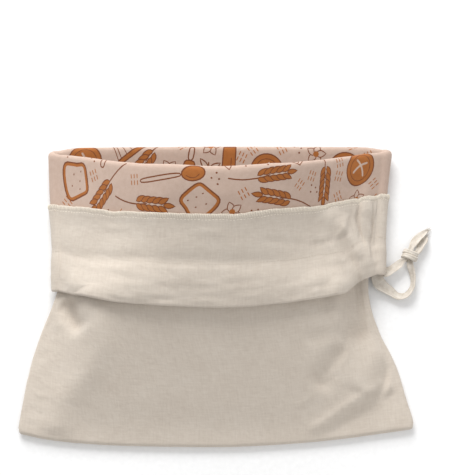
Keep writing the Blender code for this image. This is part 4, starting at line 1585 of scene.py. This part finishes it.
cordA, lengthA, pathA = makeCord("drawcord_a", strandA + throughA + tailA, 101)
cordB, lengthB, pathB = makeCord("drawcord_b", strandB + throughB + tailB, 131)
knotTurns = makeKnot()
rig.replaces(cordA, "cord_strand_a", "cord_tail_a")
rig.replaces(cordB, "cord_strand_b", "cord_tail_b")
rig.replaces(knotTurns, "cord_knot")
for piece in (cordA, cordB, knotTurns):
    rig.slot(piece, "cotton_tape")
    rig.ride(piece, "root")
print("cords made", round(lengthA, 4), round(lengthB, 4))


fray = {
    "count": 26,
    "points": 6,
    "short": 2.5,
    "long": 7.5,
    "rooted": 2.0,  # how far each fibre starts inside the tape
    "spread": 0.42,
    "stray": 0.2,
    "bend": 0.35,
    "lift": (-0.12, 0.22),
    "radius": 0.15,
    "tip": 0.5,  # share of the radius at its tip
    "droop": 0.10,
    "lowest": 0.35,
    "rootSpan": 0.8,  # share of the tape's end over which they start
    "fanOver": 4.0,
}
stitch = {
    "hemShare": pouch["stitchShare"],
    "channelShare": 0.545,
    "every": 3.0,
    "long": 2.3,
    "points": 6,
    "radius": 0.24,
    "rise": 0.42,  # of a stitch's middle off the middle of the cloth
    "sink": 0.30,
    "waver": 0.0018,  # of the line of stitches, as a share of the facing
    "wavers": 60,
    "thinEnd": 0.45,
    "sides": 6,
}
overlock = {
    "every": 1.5,
    "slant": 0.5,  # share of the spacing by which each loop leans
    "shares": (0.036, 0.030, 0.018, 0.006),
    "lifts": (0.30, 0.50, 0.56, 0.58),
    "turns": (35.0, 70.0, 105.0, 145.0),
    "uneven": 0.009,
    "unevens": 90,
    "radius": 0.23,
    "ends": (0.5, 0.6),  # share of the radius at the ends of a loop
    "edgeRadius": 0.253,
    "edgePoints": 1500,
    "edgeTurn": 62.0,
    "edgeSwing": 14.0,
    "edgeSwings": 180,
}


# Round threads along many lines of as many points each, in one mesh. Up is the way off the
# cloth, and radii tells how thick a thread is along its length.
def makeThreads(name, paths, up, radii, material):
    sides = stitch["sides"]
    ahead = np.gradient(paths, axis=1)
    side = unit(np.cross(ahead, up))
    third = unit(np.cross(side, ahead))
    angle = np.linspace(0, 2 * np.pi, sides, endpoint=False)
    cos, sin = np.cos(angle)[:, None], np.sin(angle)[:, None]
    ring = side[:, :, None] * cos + third[:, :, None] * sin
    rings = paths[:, :, None] + ring * np.asarray(radii)[:, None, None]
    count, long = paths.shape[:2]
    faces = []
    for n in range(count):
        first = n * long * sides
        for i in range(long - 1):
            low = first + i * sides
            for j in range(sides):
                k = (j + 1) % sides
                faces.append((low + j, low + k, low + sides + k, low + sides + j))
        faces.append(tuple(range(first + sides - 1, first - 1, -1)))
        faces.append(tuple(range(first + (long - 1) * sides, first + long * sides)))
    return makePiece(name, rings.reshape(-1, 3), faces, [material])


# places round the facing at even distances, and how far apart those are
def evenPlaces(share, every):
    c = np.linspace(0, 4, 4001)
    run = runAlong(facingAt(c, share))
    count = int(run[-1] / every)
    return np.interp(np.arange(count) * run[-1] / count, run, c), 4.0 / count


# a line of stitches round the facing, each sunk at its ends
def makeStitches(name, share, thread):
    places, _ = evenPlaces(share, stitch["every"])
    nextPlaces = np.append(places[1:], 4.0)
    part = np.linspace(0, stitch["long"] / stitch["every"], stitch["points"])
    c = places[:, None] + (nextPlaces - places)[:, None] * part
    bow = np.sin(np.pi * np.linspace(0, 1, stitch["points"])) ** 0.5
    lift = stitch["sink"] + (stitch["rise"] - stitch["sink"]) * bow
    waver = stitch["waver"] * softNoise(places[:, None] * stitch["wavers"], 0 * c, 1.0, seeds["stitch"])
    paths = facingAt(c, share + waver, lift)
    up = -normalAt(c, 3 + share + 0 * c)
    radii = stitch["radius"] * (stitch["thinEnd"] + (1 - stitch["thinEnd"]) * bow)
    return makeThreads(name, paths, up, radii, thread)


# The overlocked edge of the hem: loops of thread over the edge, and one thread that links them.
def makeOverlock():
    places, step = evenPlaces(0.0, overlock["every"])
    jitter = softNoise(places * overlock["unevens"], 0 * places, 1.0, seeds["overlock"])
    jitter = overlock["uneven"] * jitter

    def turnPoints(c, degrees):
        lift = overlock["lifts"][-1]
        top, under = facingAt(c, 0.0, lift), hemUnderAt(c, 0.0, lift)
        along = facingAt(c, 0.0) - facingAt(c, 0.02)
        return halfCircle(top, under, along, np.radians(degrees) + 0 * c)

    curved = len(overlock["shares"])
    steps = curved + len(overlock["turns"])
    lean = step * overlock["slant"] / steps
    rows = []
    for k, (share, lift) in enumerate(zip(overlock["shares"], overlock["lifts"])):
        rows.append(facingAt(places + k * lean, share + jitter * (1 - k / curved), lift))
    for k, degrees in enumerate(overlock["turns"]):
        rows.append(turnPoints(places + (k + curved) * lean, degrees))
    paths = np.stack(rows, axis=1)
    tangent = facingAt(places + 0.002, 0.0) - facingAt(places - 0.002, 0.0)
    up = np.repeat(tangent[:, None], steps, axis=1)
    first, last = overlock["ends"]
    radii = overlock["radius"] * np.concatenate([[first], np.ones(steps - 2), [last]])
    loops = makeThreads("hem_overlock_loops", paths, up, radii, hemThread)
    c = np.linspace(0, 4, overlock["edgePoints"])
    swing = softNoise(c * overlock["edgeSwings"], 0 * c, 1.0, seeds["overlockEdge"])
    line = turnPoints(c, overlock["edgeTurn"] + overlock["edgeSwing"] * swing)[None]
    up = np.repeat([[[0.0, 0.0, 1.0]]], len(c), axis=1)
    edge = makeThreads("hem_overlock_edge", line, up, overlock["edgeRadius"] + 0 * c, hemThread)
    return loops, edge


# loose fibres at a cord's cut end
def makeFray(name, table, seed):
    draw = np.random.default_rng(seed)
    route = smoothRoute(table, tape["step"])
    end, ahead = route[-1, :3], unit(route[-1, :3] - route[-3, :3])
    across = np.cross(ahead, (0.0, 0.0, 1.0))
    t = np.linspace(0, 1, fray["points"])[None, :, None]
    count = fray["count"]
    start = draw.uniform(-1.0, 1.0, (count, 1, 1)) * tape["width"] * route[-1, 4] / 2 * fray["rootSpan"]
    long = draw.uniform(fray["short"], fray["long"], (count, 1, 1))
    stray, bent = fray["stray"], fray["bend"]
    fan = start / fray["fanOver"] * fray["spread"] + draw.uniform(-stray, stray, (count, 1, 1))
    bend = draw.uniform(-bent, bent, (count, 1, 1))
    rise = draw.uniform(*fray["lift"], (count, 1, 1)) - fray["droop"] * t
    way = ahead + across * (fan + bend * t) + np.array([0.0, 0.0, 1.0]) * rise
    paths = end - ahead * fray["rooted"] + across * start + long * t * way
    paths[..., 2] = np.maximum(paths[..., 2], fray["lowest"])
    up = np.repeat(np.repeat([[[0.0, 0.0, 1.0]]], count, axis=0), fray["points"], axis=1)
    radii = fray["radius"] * np.linspace(1.0, fray["tip"], fray["points"])
    return makeThreads(name, paths, up, radii, tapeCotton)


hemStitches = makeStitches("hem_stitches", stitch["hemShare"], hemThread)
channelStitches = makeStitches("channel_stitches", stitch["channelShare"], channelThread)
overlockLoops, overlockEdge = makeOverlock()
frayA = makeFray("drawcord_a_frayed_end", throughA + tailA, 7)
frayB = makeFray("drawcord_b_frayed_end", throughB + tailB, 8)
for piece in (hemStitches, channelStitches, overlockLoops, overlockEdge):
    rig.slot(piece, "natural_linen")
    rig.ride(piece, "root")
for piece in (frayA, frayB):
    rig.slot(piece, "cotton_tape")
    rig.ride(piece, "root")
print("stitches made", len(overlockLoops.data.polygons), len(overlockEdge.data.polygons))

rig.cord(
    cordA, pathA[0], lengthA, 0.008, far_end="bare", stiffness="limp", lay="loose", path=pathA,
    with_pieces=(knotTurns, frayA),
)
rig.cord(
    cordB, pathB[0], lengthB, 0.009, far_end="bare", stiffness="limp", lay="loose", path=pathB,
    with_pieces=(knotTurns, frayB),
)
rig.sheet(
    linenPouch, flat=(0.35, 0.90), held="folded",
    with_pieces=(hemStitches, channelStitches, overlockLoops, overlockEdge),
)
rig.sheet(liningPiece, flat=(0.35, 0.63), held="folded")


boardLook = {
    "name": "mattWhiteBoard",
    "low": "#f4f4f4",
    "high": "#f9f9f9",
    "speck": 4.17,  # millimetres
    "reach": 3.0,  # metres to each side
    "drop": 0.05,  # how far it lies under the bag, in millimetres
}


# Matt painted board under the bag: almost even, so that only the bag's shadow shows on it.
def makeFloor(look):
    material, tree, shader = newMaterial(look["name"], {"Roughness": 0.9, "Specular IOR Level": 0.2})
    place = addNode(tree, "TexCoord")
    settings = {"Scale": 1 / (look["speck"] * mm), "Detail": 3.0}
    noise = addNode(tree, "TexNoise", settings, {"Vector": place.outputs["Object"]})
    stops = ((0.3, look["low"]), (0.7, look["high"]))
    ramp = addNode(tree, "ValToRGB", {"stops": stops}, {"Fac": noise.outputs["Fac"]})
    tree.links.new(ramp.outputs["Color"], shader.inputs["Base Color"])
    mesh = bpy.data.meshes.new("white_board")
    reach = look["reach"]
    corners = [(-reach, -reach, 0), (reach, -reach, 0), (reach, reach, 0), (-reach, reach, 0)]
    mesh.from_pydata(corners, [], [(0, 1, 2, 3)])
    mesh.materials.append(material)
    board = bpy.data.objects.new("white_board", mesh)
    board.location.z = -look["drop"] * mm
    bpy.context.scene.collection.objects.link(board)
    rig.stage(board)


makeFloor(boardLook)

lights = {
    # place, power in watts, width
    "key": ((-0.45, 1.62, 1.00), 45.0, 1.3),
    "fill": ((0.90, -0.70, 1.20), 6.0, 1.5),
}
sky = 0.56
lookedAt = Vector((0, 0, 0.03))  # where the lights point


def makeLights():
    for name, (place, power, size) in lights.items():
        lamp = bpy.data.lights.new(name, "AREA")
        lamp.energy, lamp.size = power, size
        light = bpy.data.objects.new(name, lamp)
        light.location = place
        light.rotation_euler = (Vector(place) - lookedAt).to_track_quat("Z", "Y").to_euler()
        bpy.context.scene.collection.objects.link(light)
    world = bpy.data.worlds.new("studio")
    bpy.context.scene.world = world
    world.use_nodes = True
    background = world.node_tree.nodes["Background"]
    background.inputs["Color"].default_value = hexColour("#ffffff")
    background.inputs["Strength"].default_value = sky


makeLights()

camera = {
    "target": (0.0097, 0.048, 0.020),
    "elevation": 80.0,
    "distance": 1.5,
    "lens": 128.6,
    "sensor": 36.0,
}


def makeCamera():
    lens = bpy.data.cameras.new("camera")
    lens.lens, lens.sensor_fit = camera["lens"], "VERTICAL"
    lens.sensor_width = lens.sensor_height = camera["sensor"]
    eye = bpy.data.objects.new("camera", lens)
    angle = math.radians(camera["elevation"])
    back = Vector((0, -math.cos(angle), math.sin(angle)))
    eye.location = Vector(camera["target"]) + back * camera["distance"]
    eye.rotation_euler = back.to_track_quat("Z", "Y").to_euler()
    bpy.context.scene.collection.objects.link(eye)
    bpy.context.scene.camera = eye


makeCamera()
print("board, lights and camera made")
bpy.context.scene.view_settings.view_transform = "Standard"
bpy.context.view_layer.update()
low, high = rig.bounds()
with open("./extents.json", "w") as file:
    json.dump({"cad": [list(cadLow), list(cadHigh)], "visual": [list(low), list(high)]}, file)
